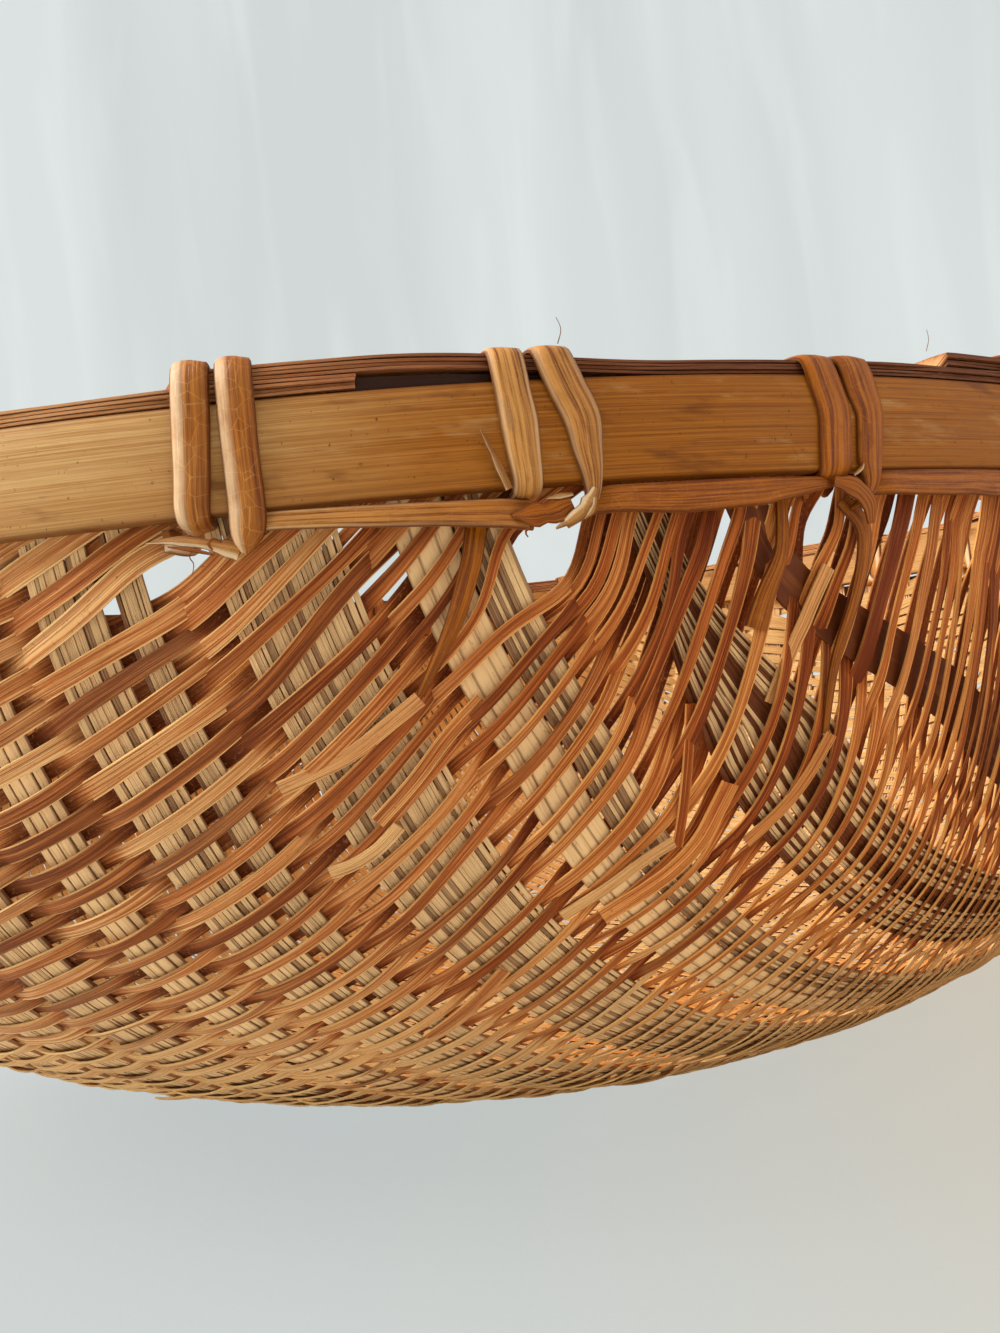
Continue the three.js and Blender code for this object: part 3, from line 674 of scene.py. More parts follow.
def rattan_finish(colours):
    """Split rattan: lengthwise grain, crackled, dark at both edges; golden and paler where painted light
    falls, with a painted highlight on one side and painted shade on the other.
    """
    finish = StripFinish("oiled_rattan", 53.0)
    along, across = finish.along, finish.across
    worn = finish.mark("worn")
    grain = finish.grain(0.018, 2.4, 2.2, 3.0, 0.65)
    fine = finish.grain(0.05, 9.0, 2.0, 2.0, 0.6)
    patches = finish.grain(0.11, 0.7, 1.4, 3.0, 0.6)
    crackle = finish.node("ShaderNodeTexVoronoi", {"feature": "DISTANCE_TO_EDGE"}, {
        "Vector": finish.at(along * 0.3, across * 0.9, finish.lane), "Scale": 1.0})
    # Painted light: golden in a middle band of the mark, paler where it is high.
    golden = worn.between(0.2, 0.32) * worn.between(0.62, 0.45)
    lit_side_highlight = across.between(-0.1, -0.55) * (worn + patches * 0.4).between(0.5, 1.1)
    dark, pale = colours.rattan_dark, colours.rattan_pale_and_lit
    base = finish.over(
        dark,
        (grain.between(0.3, 0.66), colours.rattan),
        (golden * grain.between(0.25, 0.62) * 0.6, pale),
        ((worn + grain * 0.6 + patches * 0.5).between(0.95, 2.1), pale),
        (patches.between(0.52, 0.72) * 0.4, dark),
        (fine.between(0.58, 0.74) * 0.4, darker(dark, 0.7)),
        (crackle.between(0.03, 0.0) * worn * 0.5, pale),
        # Painted shade on the side of the strand away from the window lamp.
        (across.between(0.1, 0.7) * worn * 0.5, dark),
        # Painted highlight on the side of the strand that faces the window lamp.
        (lit_side_highlight * 0.85, colours.rattan_highlight),
        # Painted highlight along the edges where the strand is golden.
        ((across.size() + fine * 0.3).between(0.8, 0.96) * golden * 0.3, colours.rattan_highlight),
        (finish.edges(0.82) * 0.85, darker(dark, 0.6)),
        (finish.mark("rise").between(-0.3, -0.45), colours.rattan_back),
    )
    return finish.done(base, 0.3 + fine * 0.22, grain + fine * 0.6 + patches, 0.25, 0.2)


def cloth_finish(colours):
    """White cloth, which looks white and still takes the basket's shadow; its folds, shade and warm bounce
    are painted.
    """
    finish = Finish("white_cloth")
    where = finish.node("ShaderNodeTexCoord", {}, {}, "Object")
    x, y, z = (finish.node("ShaderNodeSeparateXYZ", {}, {"Vector": where}, axis) for axis in "XYZ")
    hanging = finish.at(x, y, z * 0.12)
    fold_shade = finish.noise(hanging, 1.1)
    crease_light = finish.noise(hanging, 4.5, distortion=0.6)
    threads = finish.noise(where, 700.0)
    close = ((x * x + y * y) ** 0.5).between(1.4, 0.3)
    base = finish.over(
        colours.cloth,
        # Painted shade in the folds and painted light on the creases.
        (fold_shade.between(0.35, 0.65), darker(colours.cloth, 0.9)),
        (crease_light.between(0.45, 0.75) * 0.35, darker(colours.cloth, 1.12)),
        # Painted shade round the basket, and painted bounce light on one side of it.
        (close, darker(colours.cloth, 0.79)),
        (close * (x + y).between(-0.1, 0.3), colours.cloth_bounce_light),
    )
    lit = finish.node("ShaderNodeBsdfPrincipled", {}, {
        "Base Color": base, "Roughness": 0.9,
        "Normal": finish.node("ShaderNodeBump", {}, {"Strength": 0.3, "Distance": 0.0002, "Height": threads}),
    })
    white = finish.node("ShaderNodeEmission", {}, {"Color": base, "Strength": 1.0})
    seen = finish.node("ShaderNodeLightPath", {}, {}, "Is Camera Ray")
    return finish.closed(finish.node("ShaderNodeMixShader", {}, {0: seen * 0.88, 1: lit, 2: white}))


# What the pieces share

def plans():
    """The rim and the bowl for the sizes in the scene."""
    form = in_millimetres(bpy.context.scene.basket_form)
    rim = Rim(form["half_width"], form["half_length"])
    mouth = form["depth"] - form["hoop_height"]
    inset = form["weave_inset"]
    bowl = Bowl(form["half_width"] - inset, form["half_length"] - inset, mouth, form["depth"])
    return form, rim, bowl


# Where round the rim the first pair of turns is.
FIRST_PAIR_ANGLE = math.radians(-35.6)


def pair_arcs(rim, pairs):
    return rim.arc_at(FIRST_PAIR_ANGLE) + rim.perimeter * np.arange(pairs) / pairs


# How far the plan's angle has to be turned to count from the light.
LIGHT_TURN = math.radians(100)


def lamp_side_light(angle):
    """Painted light: how much paler the basket is at an angle of its plan, from 0 to 1: most on its two long
    sides.
    """
    return smooth((np.abs(np.cos(angle + LIGHT_TURN)) - 0.3) / 0.6)


def oiled(bowl, points):
    """From 0 where the basket is painted paler to 1 at its two ends: partly oil, partly painted shade."""
    return 1 - lamp_side_light(plan_angle(bowl.half, points[:, 0], points[:, 1]))


# How far wefts are crowded along the wall towards the mouth, by their distance from the middle line.
CROWDING = np.array([
    (0, 0), (60, 10), (114, 16), (151, 20), (182, 8), (212, -13), (255, -15), (300, -14), (380, -8),
])
CROWDING_REACH = 90

# How far the wefts of the near right part drift, by place across the ribs (rows) and distance (columns).
DRIFT_FROM = (45, 75)
DRIFT_PLACES = (60, 100, 125, 150, 170, 180, 189, 195, 200, 205, 210, 215, 232)
DRIFT_DISTANCES = (0, 71, 123, 154, 174, 195, 204, 211, 222, 234, 243, 256, 278, 322)
DRIFT = (
    (0, 0, 0, 0, 0, 0, 0, 0, 0, 0, 0, 0, 0, 0),
    (0, -1.5, -2.5, -3.5, -4, -4.5, -4.5, -5, -5, -5.5, -5.5, -5.5, -6, -6),
    (0, -3.5, -6, -8, -9, -10.5, -11, -11.5, -12, -12.5, -13, -13, -14, -14),
    (0, -5.5, -9.5, -12.5, -14.5, -16.5, -17.5, -18, -19, -20, -20.5, -21, -22, -22),
    (0, -7.5, -14.5, -18.5, -20.5, -23.5, -24.5, -24, -24, -25, -25.5, -25.5, -27, -28),
    (0, -9.5, -18.5, -24.5, -27.5, -30.5, -29.5, -29, -29, -29, -29.5, -29, -29, -30),
    (0, -11.5, -23.5, -30.5, -34.5, -38.5, -35.5, -33, -32, -32, -32.5, -30, -29, -29),
    (0, -13.5, -28.5, -37.5, -40.5, -40.5, -37.5, -30, -29, -28, -29.5, -28, -28, -28),
    (0, -16.5, -33.5, -43.5, -45.5, -42.5, -36.5, -23, -23, -23, -25.5, -26, -27, -27),
    (0, -19.5, -38.5, -48.5, -49.5, -41.5, -31.5, -16, -17, -18, -20.5, -24, -26, -26),
    (0, -20.5, -41.5, -51.5, -47.5, -32.5, -21.5, -11, -14, -16, -18.5, -21, -24, -24),
    (0, -20.5, -41.5, -50.5, -40.5, -21.5, -12.5, -8, -11, -14, -17.5, -21, -22, -22),
    (0, -18.5, -37.5, -45.5, -30.5, -16.5, -9.5, -6, -9, -12, -16.5, -21, -22, -22),
)


def softened(table, times):
    """The table with its steps rounded off."""
    for _ in range(times):
        padded = np.pad(table, 1, mode="edge")
        rows = (padded[:-2] + 2 * padded[1:-1] + padded[2:]) / 4
        table = (rows[:, :-2] + 2 * rows[:, 1:-1] + rows[:, 2:]) / 4
    return table


class Drift:
    """How far a weft is moved at each place in the near right part, and how much room it has there."""

    STEP = 3.0
    PLACE_STEP = 1.5
    SOFTENING = 12

    def __init__(self):
        self.places = np.arange(DRIFT_PLACES[0], DRIFT_PLACES[-1] + self.PLACE_STEP, self.PLACE_STEP)
        self.distances = np.arange(0, DRIFT_DISTANCES[-1] + self.STEP, self.STEP)
        rows = np.array([np.interp(self.distances, DRIFT_DISTANCES, row) for row in DRIFT])
        table = np.array([np.interp(self.places, DRIFT_PLACES, column) for column in rows.T]).T
        self.moves = softened(table, self.SOFTENING)
        self.rooms = 1 + np.gradient(self.moves, self.STEP, axis=1)

    def at(self, x, away):
        column = np.clip(away / self.STEP, 0, len(self.distances) - 1.001)
        low = int(column)
        share = column - low
        return [
            np.interp(x, self.places, table[:, low] * (1 - share) + table[:, low + 1] * share)
            for table in (self.moves, self.rooms)
        ]


# Ribs that were pushed together at one end: their number, the middle of the bundle and its width.
UNEVEN_RIBS = {
    16: (115.5, 9.5), 17: (136, 15.5), 18: (161.5, 15), 19: (182, 12), 20: (202.3, 12.5), 21: (219.5, 5),
}

# How two of them change over the last of the wall: how far the bundle shifts, and to what share it narrows.
TURNED_RIBS = {20: (0.0, 0.34), 21: (-7.0, 0.85)}
TURNED_FROM = 100
TURNED_HEIGHT = 42


class Ribs:
    """Middles and widths of the ribs' bundles, and how a weft alternates over them."""

    MARGIN = 9

    def __init__(self, half_width, sizes):
        pitch = sizes["rib_pitch"]
        each_side = int((half_width - self.MARGIN) / pitch + 0.5)
        self.middles = (np.arange(2 * each_side) - each_side + 0.5) * pitch
        self.widths = np.full(len(self.middles), sizes["rib_width"])
        for number, (middle, width) in UNEVEN_RIBS.items():
            if number < len(self.middles):
                self.middles[number] = middle
                self.widths[number] = width
        after = self.middles + self.widths / 2
        before = self.middles - self.widths / 2
        gaps = (after[:-1] + before[1:]) / 2
        ends = (self.middles[0] - pitch / 2, self.middles[-1] + pitch / 2)
        self.knots = np.sort(np.concatenate([self.middles, gaps, ends]))

    def passing(self, place):
        """From 1 on one rib to -1 on the next."""
        return np.sin(math.pi / 2 * np.interp(place, self.knots, np.arange(len(self.knots))))


# Places at which a weft's line is first worked out, and how many of them the shortest weft takes up.
WEFT_STATIONS = 1401
SHORTEST_WEFT = 8


def weft_line(bowl, drift, distance, rng):
    """One weft's line across the bowl at a signed distance from the middle line, and its room there."""
    side = 1 if distance > 0 else -1
    away = abs(distance)
    turns = np.linspace(-math.pi / 2, math.pi / 2, WEFT_STATIONS)
    x = bowl.half[0] * np.sin(turns)
    reach = bowl.reach(turns, side)
    inside = np.flatnonzero(reach > away)
    if len(inside) < SHORTEST_WEFT:
        return None
    run = running_length(bowl.point(x[inside], away / reach[inside], side))
    from_end = np.zeros(len(x))
    from_end[inside] = np.minimum(run, run[-1] - run)
    crowding = np.interp(away, CROWDING[:, 0], CROWDING[:, 1]) * smooth(1 - from_end / CROWDING_REACH)
    moves, rooms = drift.at(x, away)
    drifting = smooth((x - DRIFT_FROM[0]) / (DRIFT_FROM[1] - DRIFT_FROM[0])) * (side < 0)
    loose = 0.3 + 0.5 * smooth(1 - from_end / 110) + 0.2 * smooth((away - 170) / 60)
    loose = loose * (0.5 + 0.5 * openness(x, side))
    waver = wander(rng, np.arange(len(x)) * 0.5, 22, 1.0) * loose
    shifted = away + crowding * (1 - drifting) + moves * drifting + waver
    share = shifted / np.maximum(reach, 1e-6)
    middle = (inside[0] + inside[-1]) // 2
    past = np.flatnonzero(share >= 1)
    first = past[past < middle].max(initial=-1) + 1
    last = past[past > middle].min(initial=len(x))
    if last - first < SHORTEST_WEFT:
        return None
    held = slice(first, last)
    points = bowl.point(x[held], np.maximum(share[held], 0), side)
    return resampled(points, WEFT_STEP, 1 + (rooms[held] - 1) * drifting[held])


# Where across the ribs the weave begins to be open, and over what distance it gets so.
OPEN_FROM = 130
OPEN_OVER = 50


def openness(x, side):
    """How open the weave is, from 0 to 1: only the near right part has much room between its wefts."""
    return smooth((x - OPEN_FROM) / OPEN_OVER) * (side < 0)


def opened(points, bowl, openings):
    """Bends a line round the places where the lashing was pulled through the weave."""
    across = unit(np.cross(bowl.outward(points), heading(points)))
    run = running_length(points)
    moved = points.copy()
    for centre, half_gap, spread, reach in openings:
        apart = points - centre
        nearest = np.argmin(np.sum(apart ** 2, axis=1))
        offset = apart[nearest] @ across[nearest]
        if np.linalg.norm(apart[nearest]) > 5 * spread:
            continue
        push = half_gap * math.exp(-abs(offset) / spread) * np.exp(-((run - run[nearest]) / reach) ** 2)
        moved += across * (math.copysign(1, offset) * push)[:, None]
    return moved


# Pairs of turns in view, which have no window beside them but those that the photograph shows.
SEEN_PAIRS = (25, 0, 1)

# Windows and slits in view: place across the ribs and from the middle line, how far the nearest wefts are
# pushed aside, how far that reaches across the wefts, and along them.
SEEN_WINDOWS = (
    ((143.5, -298), 3.6, 8, 14), ((186, -231), 7.0, 11, 12), ((212.5, -160), 3.0, 8, 8),
    ((196.5, -214), 1.3, 4, 8), ((200, -197), 1.3, 4, 8), ((205, -188), 1.2, 4, 7),
    ((207.5, -179), 1.2, 4, 7), ((218.5, -137), 1.2, 4, 7),
)

# Any other window: how far it comes before its pair, in from the outer hoop's face, and below the mouth; and
# the farthest across the ribs that one can be, as a share of the bowl's half width.
WINDOW_LEAD = 7
WINDOW_SETBACK = 8.0
WINDOW_DROP = 13
WINDOW_LIMIT = 0.985


def windows(bowl, rim, pairs, rng):
    """Where the weave is parted: beside each pair of turns, and in view as the photograph has it."""
    made = []
    for (x, distance), *rest in SEEN_WINDOWS:
        made.append((place_on(bowl, x, distance), *rest))
    for number, arc in enumerate(pair_arcs(rim, pairs)):
        half_gap, spread, reach = 1.5 + rng.random() * 3, 8 + rng.random() * 2, 8 + rng.random() * 3
        x, y, _ = rim.point(np.array([arc - WINDOW_LEAD + rng.normal() * 2]), -WINDOW_SETBACK, 0)[0]
        x = bowl.half[0] * float(np.clip(x / bowl.half[0], -WINDOW_LIMIT, WINDOW_LIMIT))
        side = 1 if y > 0 else -1
        far = bowl.reach(math.asin(x / bowl.half[0]), side)
        if number not in SEEN_PAIRS:
            centre = place_on(bowl, x, side * max(far - WINDOW_DROP, far * 0.6))
            made.append((centre, half_gap, spread, reach))
    return made


def place_on(bowl, x, distance):
    side = 1 if distance > 0 else -1
    share = abs(distance) / bowl.reach(math.asin(np.clip(x / bowl.half[0], -1, 1)), side)
    return bowl.point(np.array([x]), np.array([share]), side)[0]


# Where the distance between neighbouring wefts begins to grow towards the rim, and over what distance.
WIDER_FROM = 225
WIDER_OVER = 80


def weave_wefts(bowl, sizes, openings):
    """All wefts as numbered lines with their room, closer together on the floor than by the rim."""
    rng = draws("weft lines")
    drift = Drift()
    near, far = sizes["weft_pitch"], sizes["rim_weft_pitch"]
    lines = []
    for side in (1, -1):
        farthest = bowl.lengths[side].max()
        distance = near / 2
        number = 0 if side > 0 else -1
        while distance < farthest:
            line = weft_line(bowl, drift, side * (distance + rng.normal() * 0.15), rng)
            pitch = near + (far - near) * smooth((distance - WIDER_FROM) / WIDER_OVER)
            if line and len(line[0]) > 6:
                points, room = line
                lines.append((number, opened(points, bowl, openings), room * pitch / near))
            distance += pitch
            number += side
    return sorted(lines, key=lambda line: line[0])


def up_between_hoops(points, normals, far):
    """Goes on past both ends of a line, in the wall between the hoops."""
    before = points[0] - points[1]
    after = points[-1] - points[-2]
    before = unit(before - normals[0] * before.dot(normals[0]))
    after = unit(after - normals[-1] * after.dot(normals[-1]))
    steps = np.arange(1, 4)[:, None] * far / 3
    return np.concatenate([(points[0] + before * steps)[::-1], points, points[-1] + after * steps])


class BASKET_OT_wefts(bpy.types.Operator):
    """Weave the fine wefts over and under the ribs"""
    bl_idname = "basket.wefts"
    bl_label = "Wefts"

    PARTS = 4
    MORE_ENDS = 34
    PAST_MOUTH = 8
    TURN = math.radians(13)
    TURN_WAVER = math.radians(8)
    TURN_SPREAD = math.radians(4)

    def execute(self, context):
        _, rim, bowl = plans()
        sizes = in_millimetres(context.scene.weave_form)
        ribs = Ribs(bowl.half[0], sizes)
        rng = draws("wefts")
        openings = windows(bowl, rim, context.scene.rim_form.pairs, rng)
        lines = weave_wefts(bowl, sizes, openings)
        finish = weft_finish(context.scene.weave_form)
        batches = [Strips() for _ in range(self.PARTS)]
        for place, (number, points, room) in enumerate(lines):
            points = up_between_hoops(points, bowl.outward(points), self.PAST_MOUTH)
            room = np.concatenate([np.full(3, room[0]), room, np.full(3, room[-1])])
            batch = batches[place * self.PARTS // len(lines)]
            self.lay(batch, bowl, ribs, sizes, number, points, room, rng)
        self.cut_ends(batches[0], bowl, sizes, rng)
        for number, batch in enumerate(batches):
            batch.piece(f"wefts_{number + 1}", finish, "weave", ["woven_body"])
        return {"FINISHED"}

    # Cut ends of wefts in view: places across the ribs and from the middle line, with width and wear.
    SEEN_ENDS = (
        (((169.5, -235.8), (165.5, -237.9), (159.6, -240.9), (154.0, -245.0), (149.6, -248.2)), 3.0, 0.6),
        (((159.0, -227.7), (165.0, -226.2), (171.0, -225.3), (176.0, -223.2)), 2.8, 0.15),
        (((161.1, -223.3), (157.5, -223.8), (153.3, -225.8), (149.6, -228.5)), 2.6, 0.9),
        (((187.6, -163.8), (183.8, -167.9), (177.5, -173.0), (171.0, -178.0)), 2.5, 0.8),
        (((187.6, -161.4), (190.4, -164.3), (192.5, -167.1), (194.5, -170.5), (196.3, -174.5)), 2.2, 0.0),
        (((196.0, -156.5), (193.9, -156.3), (189.9, -156.6), (184.5, -160.2), (174.9, -168.9)), 4.2, 0.3),
        (((207.1, -132.5), (203.3, -134.5), (199.8, -137.2), (194.2, -143.0)), 2.8, 0.5),
        (((211.8, -153.3), (210.1, -153.2), (208.7, -152.9), (207.1, -153.1), (203.5, -152.5)), 3.2, 0.7),
    )

    def cut_ends(self, batch, bowl, sizes, rng):
        """Ends that stand off the weave, in view as they are there and a few more all round."""
        ends = [(*end, (3.2, 2.6, 1.2) if end[2] else (2.2, 1.9, 0.8)) for end in self.SEEN_ENDS]
        for _ in range(self.MORE_ENDS):
            side = 1 if rng.random() > 0.5 else -1
            x = rng.uniform(-185, 185)
            away = rng.uniform(150, 0.9 * bowl.reach(math.asin(x / bowl.half[0]), side))
            step = 7 if rng.random() > 0.5 else -7
            drift = rng.normal() * 0.3
            path = tuple((x - step * k, side * (away + drift * k)) for k in range(4))
            ends.append((path, 2.3 + rng.random(), rng.random(), (2.2, 2.0, 0.9)))
        for path, wide, worn, heights in ends:
            lifts = np.interp(np.arange(len(path)), (0, 1, len(path) - 1), heights)
            places, normals, width = on_bowl(bowl, path, np.full(len(path), wide), lifts)
            batch.add(places, width, sizes["weft_thickness"], SPLIT, normal=normals,
                      tone=0.3 + 0.5 * rng.random(), start=rng.random() * 300, worn=worn,
                      oiled=oiled(bowl, places))

    def lay(self, batch, bowl, ribs, sizes, number, points, room, rng):
        """One weft: it rises over one rib and dips under the next, and turns on its edge where it rises."""
        normals = bowl.outward(points)
        run = running_length(points)
        height = points[:, 2]
        below = bowl.mouth - height
        rib_place = points[:, 0] / (1 - bowl.lean(height))
        way = 1 if number % 2 else -1
        passing = way * ribs.passing(rib_place)
        bulge = 1.1 * smooth(below / 18) * smooth((100 - below) / 60)
        rise = np.minimum(sizes["weft_rise"] + bulge, 1.15 + np.maximum(below, 0) * 0.3)
        out = rise * np.tanh(1.5 * passing) / math.tanh(1.5) + wander(rng, run, 14, 0.1)
        middle = points + normals * out[:, None]
        along = heading(middle)
        side = 1 if points[len(points) // 2, 1] > 0 else -1
        turned = self.TURN * np.maximum(passing, 0) * smooth(below / 30)
        tilt = side * turned + wander(rng, run, 30, self.TURN_WAVER) + rng.normal() * self.TURN_SPREAD
        across = np.cross(normals, along)
        leaning = normals * np.cos(tilt)[:, None] + across * np.sin(tilt)[:, None]
        shut = 1 - openness(points[:, 0], side)
        width = sizes["weft_width"] * (1 + 0.17 * shut + rng.normal() * (0.13 - 0.07 * shut))
        width = width + wander(rng, run, 22, 0.2) * (1 - 0.5 * shut)
        width = width * (1 - 0.14 * np.maximum(passing, 0) * (1 - shut) + 0.06 * np.maximum(-passing, 0))
        width = width * np.clip(room, 0.75, 1.35 + 0.25 * shut)
        width = width * (1 + 0.12 * shut * smooth(1 - below / 60))
        width = width * (1 + 0.16 * shut * smooth(1 - below / 30))
        worn = 0.95 * smooth((80 - height) / 60) + 0.1 + wander(rng, run, 40, 0.12) + rng.normal() * 0.1
        # Below 0 where the weft dips under a rib: painted shade, not wear.
        worn = np.clip(worn, 0, 1) - 0.9 * smooth(0.2 - passing) * smooth(below / 12)
        width = np.clip(width, 1.3, 4.4 + 0.6 * shut)
        batch.add(middle, width, sizes["weft_thickness"], SPLIT, normal=leaning, **own_look(rng, 500),
                  worn=np.clip(worn, -1, 1), oiled=oiled(bowl, points))


class BASKET_OT_ribs(bpy.types.Operator):
    """Lay the ribs, each a bundle of pale splits"""
    bl_idname = "basket.ribs"
    bl_label = "Ribs"

    PARTS = 4

    # Ribs in view that are unlike the rest: rib number, and the places, widths and tones of smooth splits.
    SMOOTH = {
        16: ((112.4, 1.4, 0.2), (114.2, 1.8, 0.15), (116.4, 2.2, 0.2), (118.6, 1.6, 0.3)),
        19: ((177.0, 1.8, 0.16), (179.2, 2.5, 0.05), (181.5, 2.0, 0.1)),
        21: ((219.5, 4.2, 0.95),),
    }
    # The same for fine splits: rib number, and rows of them from one place to another, with their tone.
    FINE = {
        17: ((128.2, 136.8, 0.1), (140.0, 144.2, 0.25)),
        18: ((154.2, 169.4, 0.16),),
        19: ((182.7, 187.6, 0.5),),
        20: ((196.2, 208.4, 0.75),),
    }

    def execute(self, context):
        _, _, bowl = plans()
        sizes = in_millimetres(context.scene.weave_form)
        finish = rib_finish(context.scene.weave_form)
        rng = draws("ribs")
        ribs = Ribs(bowl.half[0], sizes)
        count = len(ribs.middles)
        batches = [Strips() for _ in range(self.PARTS)]
        names = [[] for _ in range(self.PARTS)]
        for number in range(count):
            middle, width = ribs.middles[number], ribs.widths[number]
            turned = TURNED_RIBS.get(number, (0.0, 1.0))
            part = number * self.PARTS // count
            names[part].append(f"rib_{number + 1:02d}")
            high_up = place_on(bowl, middle, -0.75 * bowl.reach(math.asin(middle / bowl.half[0]), -1))
            fine = sizes["split_width"] / self.slant(bowl.outward(high_up[None]))[0]
            for place, wide, tone in self.bundle(number, middle, width, fine, rng):
                self.split(batches[part], bowl, sizes, middle, place - middle, wide, tone, turned, rng)
        for part, batch in enumerate(batches):
            batch.piece(f"ribs_{part + 1}", finish, "rib", names[part])
        return {"FINISHED"}

    def bundle(self, number, middle, width, fine, rng):
        """One rib's splits side by side: their places, widths and tones."""
        splits = list(self.SMOOTH.get(number, ()))
        for row in self.FINE.get(number, ()):
            splits += self.row(*row, fine, rng)
        if not splits:
            smooth_share = rng.random()
            low, high = middle - width / 2, middle + width / 2
            if smooth_share > 0.55:
                wide = 2.2 + rng.random() * 2.2
                splits.append((low + wide / 2, wide, 0.1 * rng.random()))
                low += wide
            splits += self.row(low, high, 0.08 + 0.2 * rng.random(), fine, rng)
        return splits

    @staticmethod
    def row(low, high, tone, fine, rng):
        """Fine splits from one place to another."""
        splits = []
        other, share = (-0.6, 0.36) if tone > 0.4 else (0.35, 0.18)
        while low < high:
            wide = fine * (0.7 + 0.6 * rng.random())
            splits.append((low + wide / 2, wide, tone + 0.16 * rng.random() + other * (rng.random() < share)))
            low += wide + 0.3 * (rng.random() > 0.93)
        return splits

    @staticmethod
    def slant(normals):
        """How much wider a split lies on the bowl than its step across the ribs."""
        return np.minimum(1 / np.sqrt(np.maximum(1 - normals[:, 0] ** 2, 1e-4)), 3)

    def split(self, batch, bowl, sizes, middle, offset, wide, tone, turned, rng):
        """One split over the whole bowl and up between the hoops, beside the middle of its rib."""
        shift, narrowed = turned
        share = np.sin(np.linspace(-math.pi / 2, math.pi / 2, 241))

        def across_at(heights, near):
            turning = smooth((heights - TURNED_FROM) / TURNED_HEIGHT) * near
            from_middle = offset * (1 - (1 - narrowed) * turning)
            return (middle + shift * turning) * (1 - bowl.lean(heights)) + from_middle

        lines = []
        for side, part in ((-1, share[share <= 0]), (1, share[share > 0])):
            x = np.full(len(part), middle + offset)
            for _ in range(3):
                points = bowl.point(x, np.abs(part), side)
                x = across_at(points[:, 2], side < 0)
            lines.append(points)
        points, = resampled(np.concatenate(lines), SPLIT_STEP)
        ends = []
        for end in (0, -1):
            heights = points[end, 2] + np.array([4.0, 9.0, 15.0])
            x = across_at(heights, end == 0)
            y = np.sign(points[end, 1]) * bowl.half[1] * np.sqrt(np.maximum(1 - (x / bowl.half[0]) ** 2, 0))
            ends.append(np.column_stack([x, y, heights]))
        points = np.concatenate([ends[0][::-1], points, ends[1]])
        normals = bowl.outward(points)
        run = running_length(points)
        sideways = unit(np.cross(normals, heading(points)))
        lift = wander(rng, run, 35, 0.06) + rng.normal() * 0.09
        sway = wander(rng, run, 60, 0.07)
        turning = smooth((points[:, 2] - TURNED_FROM) / TURNED_HEIGHT) * (points[:, 1] < 0)
        width = (wide + wander(rng, run, 30, 0.04)) * self.slant(normals) * (1 - (1 - narrowed) * turning)
        points = points + normals * lift[:, None] + sideways * sway[:, None]
        batch.add(points, width, sizes["rib_thickness"], LAID_SPLIT, normal=normals,
                  tone=tone, start=rng.random() * 500)


# The hoops' scarf joints: how far the ends lap, how thick each is at its tip, half the gap between them, and
# where they are.
HOOP_LAP = 90
SCARF_TIP = 0.8
SCARF_GAP = 0.15
OUTER_SCARF_ANGLE = math.radians(132)
INNER_SCARF_ANGLE = math.radians(180)


class BASKET_OT_hoops(bpy.types.Operator):
    """Bend the outer and the inner hoop, each scarfed on itself"""
    bl_idname = "basket.hoops"
    bl_label = "Hoops"

    def execute(self, context):
        form, rim, _ = plans()
        finish = hoop_finish(context.scene.rim_form)
        thick = form["hoop_thickness"]
        slope = (thick - 2 * SCARF_TIP) / HOOP_LAP
        rng = draws("hoops")
        for name, angle, outer, facing in (
            ("outer_hoop", OUTER_SCARF_ANGLE, 0, 1),
            ("inner_hoop", INNER_SCARF_ANGLE, form["rim_thickness"] - thick, -1),
        ):
            strips = Strips()
            start = rim.arc_at(angle)
            end = start + rim.perimeter + HOOP_LAP
            arcs = np.append(np.arange(start, end, HOOP_STEP)[:-1], end)
            along, left = arcs - start, end - arcs
            parting = outer + thick - SCARF_TIP
            front = np.where(along < HOOP_LAP, parting - slope * along + SCARF_GAP, outer)
            back = np.where(left < HOOP_LAP, parting - slope * (HOOP_LAP - left) - SCARF_GAP, outer + thick)
            wave = wander(rng, along, 45, 0.12)
            height = form["depth"] - form["hoop_height"] / 2 + wander(rng, along, 70, 0.15)
            middle = rim.point(arcs, -(front + back) / 2 + wave * 0.5, height)
            # The hoop's mark is painted light only: how much paler it is painted at its place round the rim.
            strips.add(middle, form["hoop_height"] + wave, (back - front) * 0.96, LATH,
                       normal=rim.outward(arcs) * facing, tone=0.3 + 0.4 * (facing > 0),
                       worn=lamp_side_light(rim.angle_at(arcs)))
            strips.piece(f"{name}_lath", finish, "hoop", [name], crease=50)
        return {"FINISHED"}


# Filler: each length lies on the end of the one before for the lap, and then comes down to the hoops. The
# first starts a lead before the first pair of turns. A near black strip, painted shadow, fills the wedge
# under a length that comes down.
FILLER_THICKNESS = 2.9
FILLER_SETBACK = 1.2
FILLER_LAP = 34.5
FILLER_DESCENT = 64
FILLER_LEAD = 71
GAP = 0.3
LAMINATIONS = 4
SHADOW_STRIP_LEAD = 6
SHADOW_STRIP_SETBACK = 2.2


def filler_lift(along):
    share = (along - FILLER_LAP) / FILLER_DESCENT
    return np.where(along < 0, 0, (FILLER_THICKNESS + GAP) * (1 - smooth(share)))


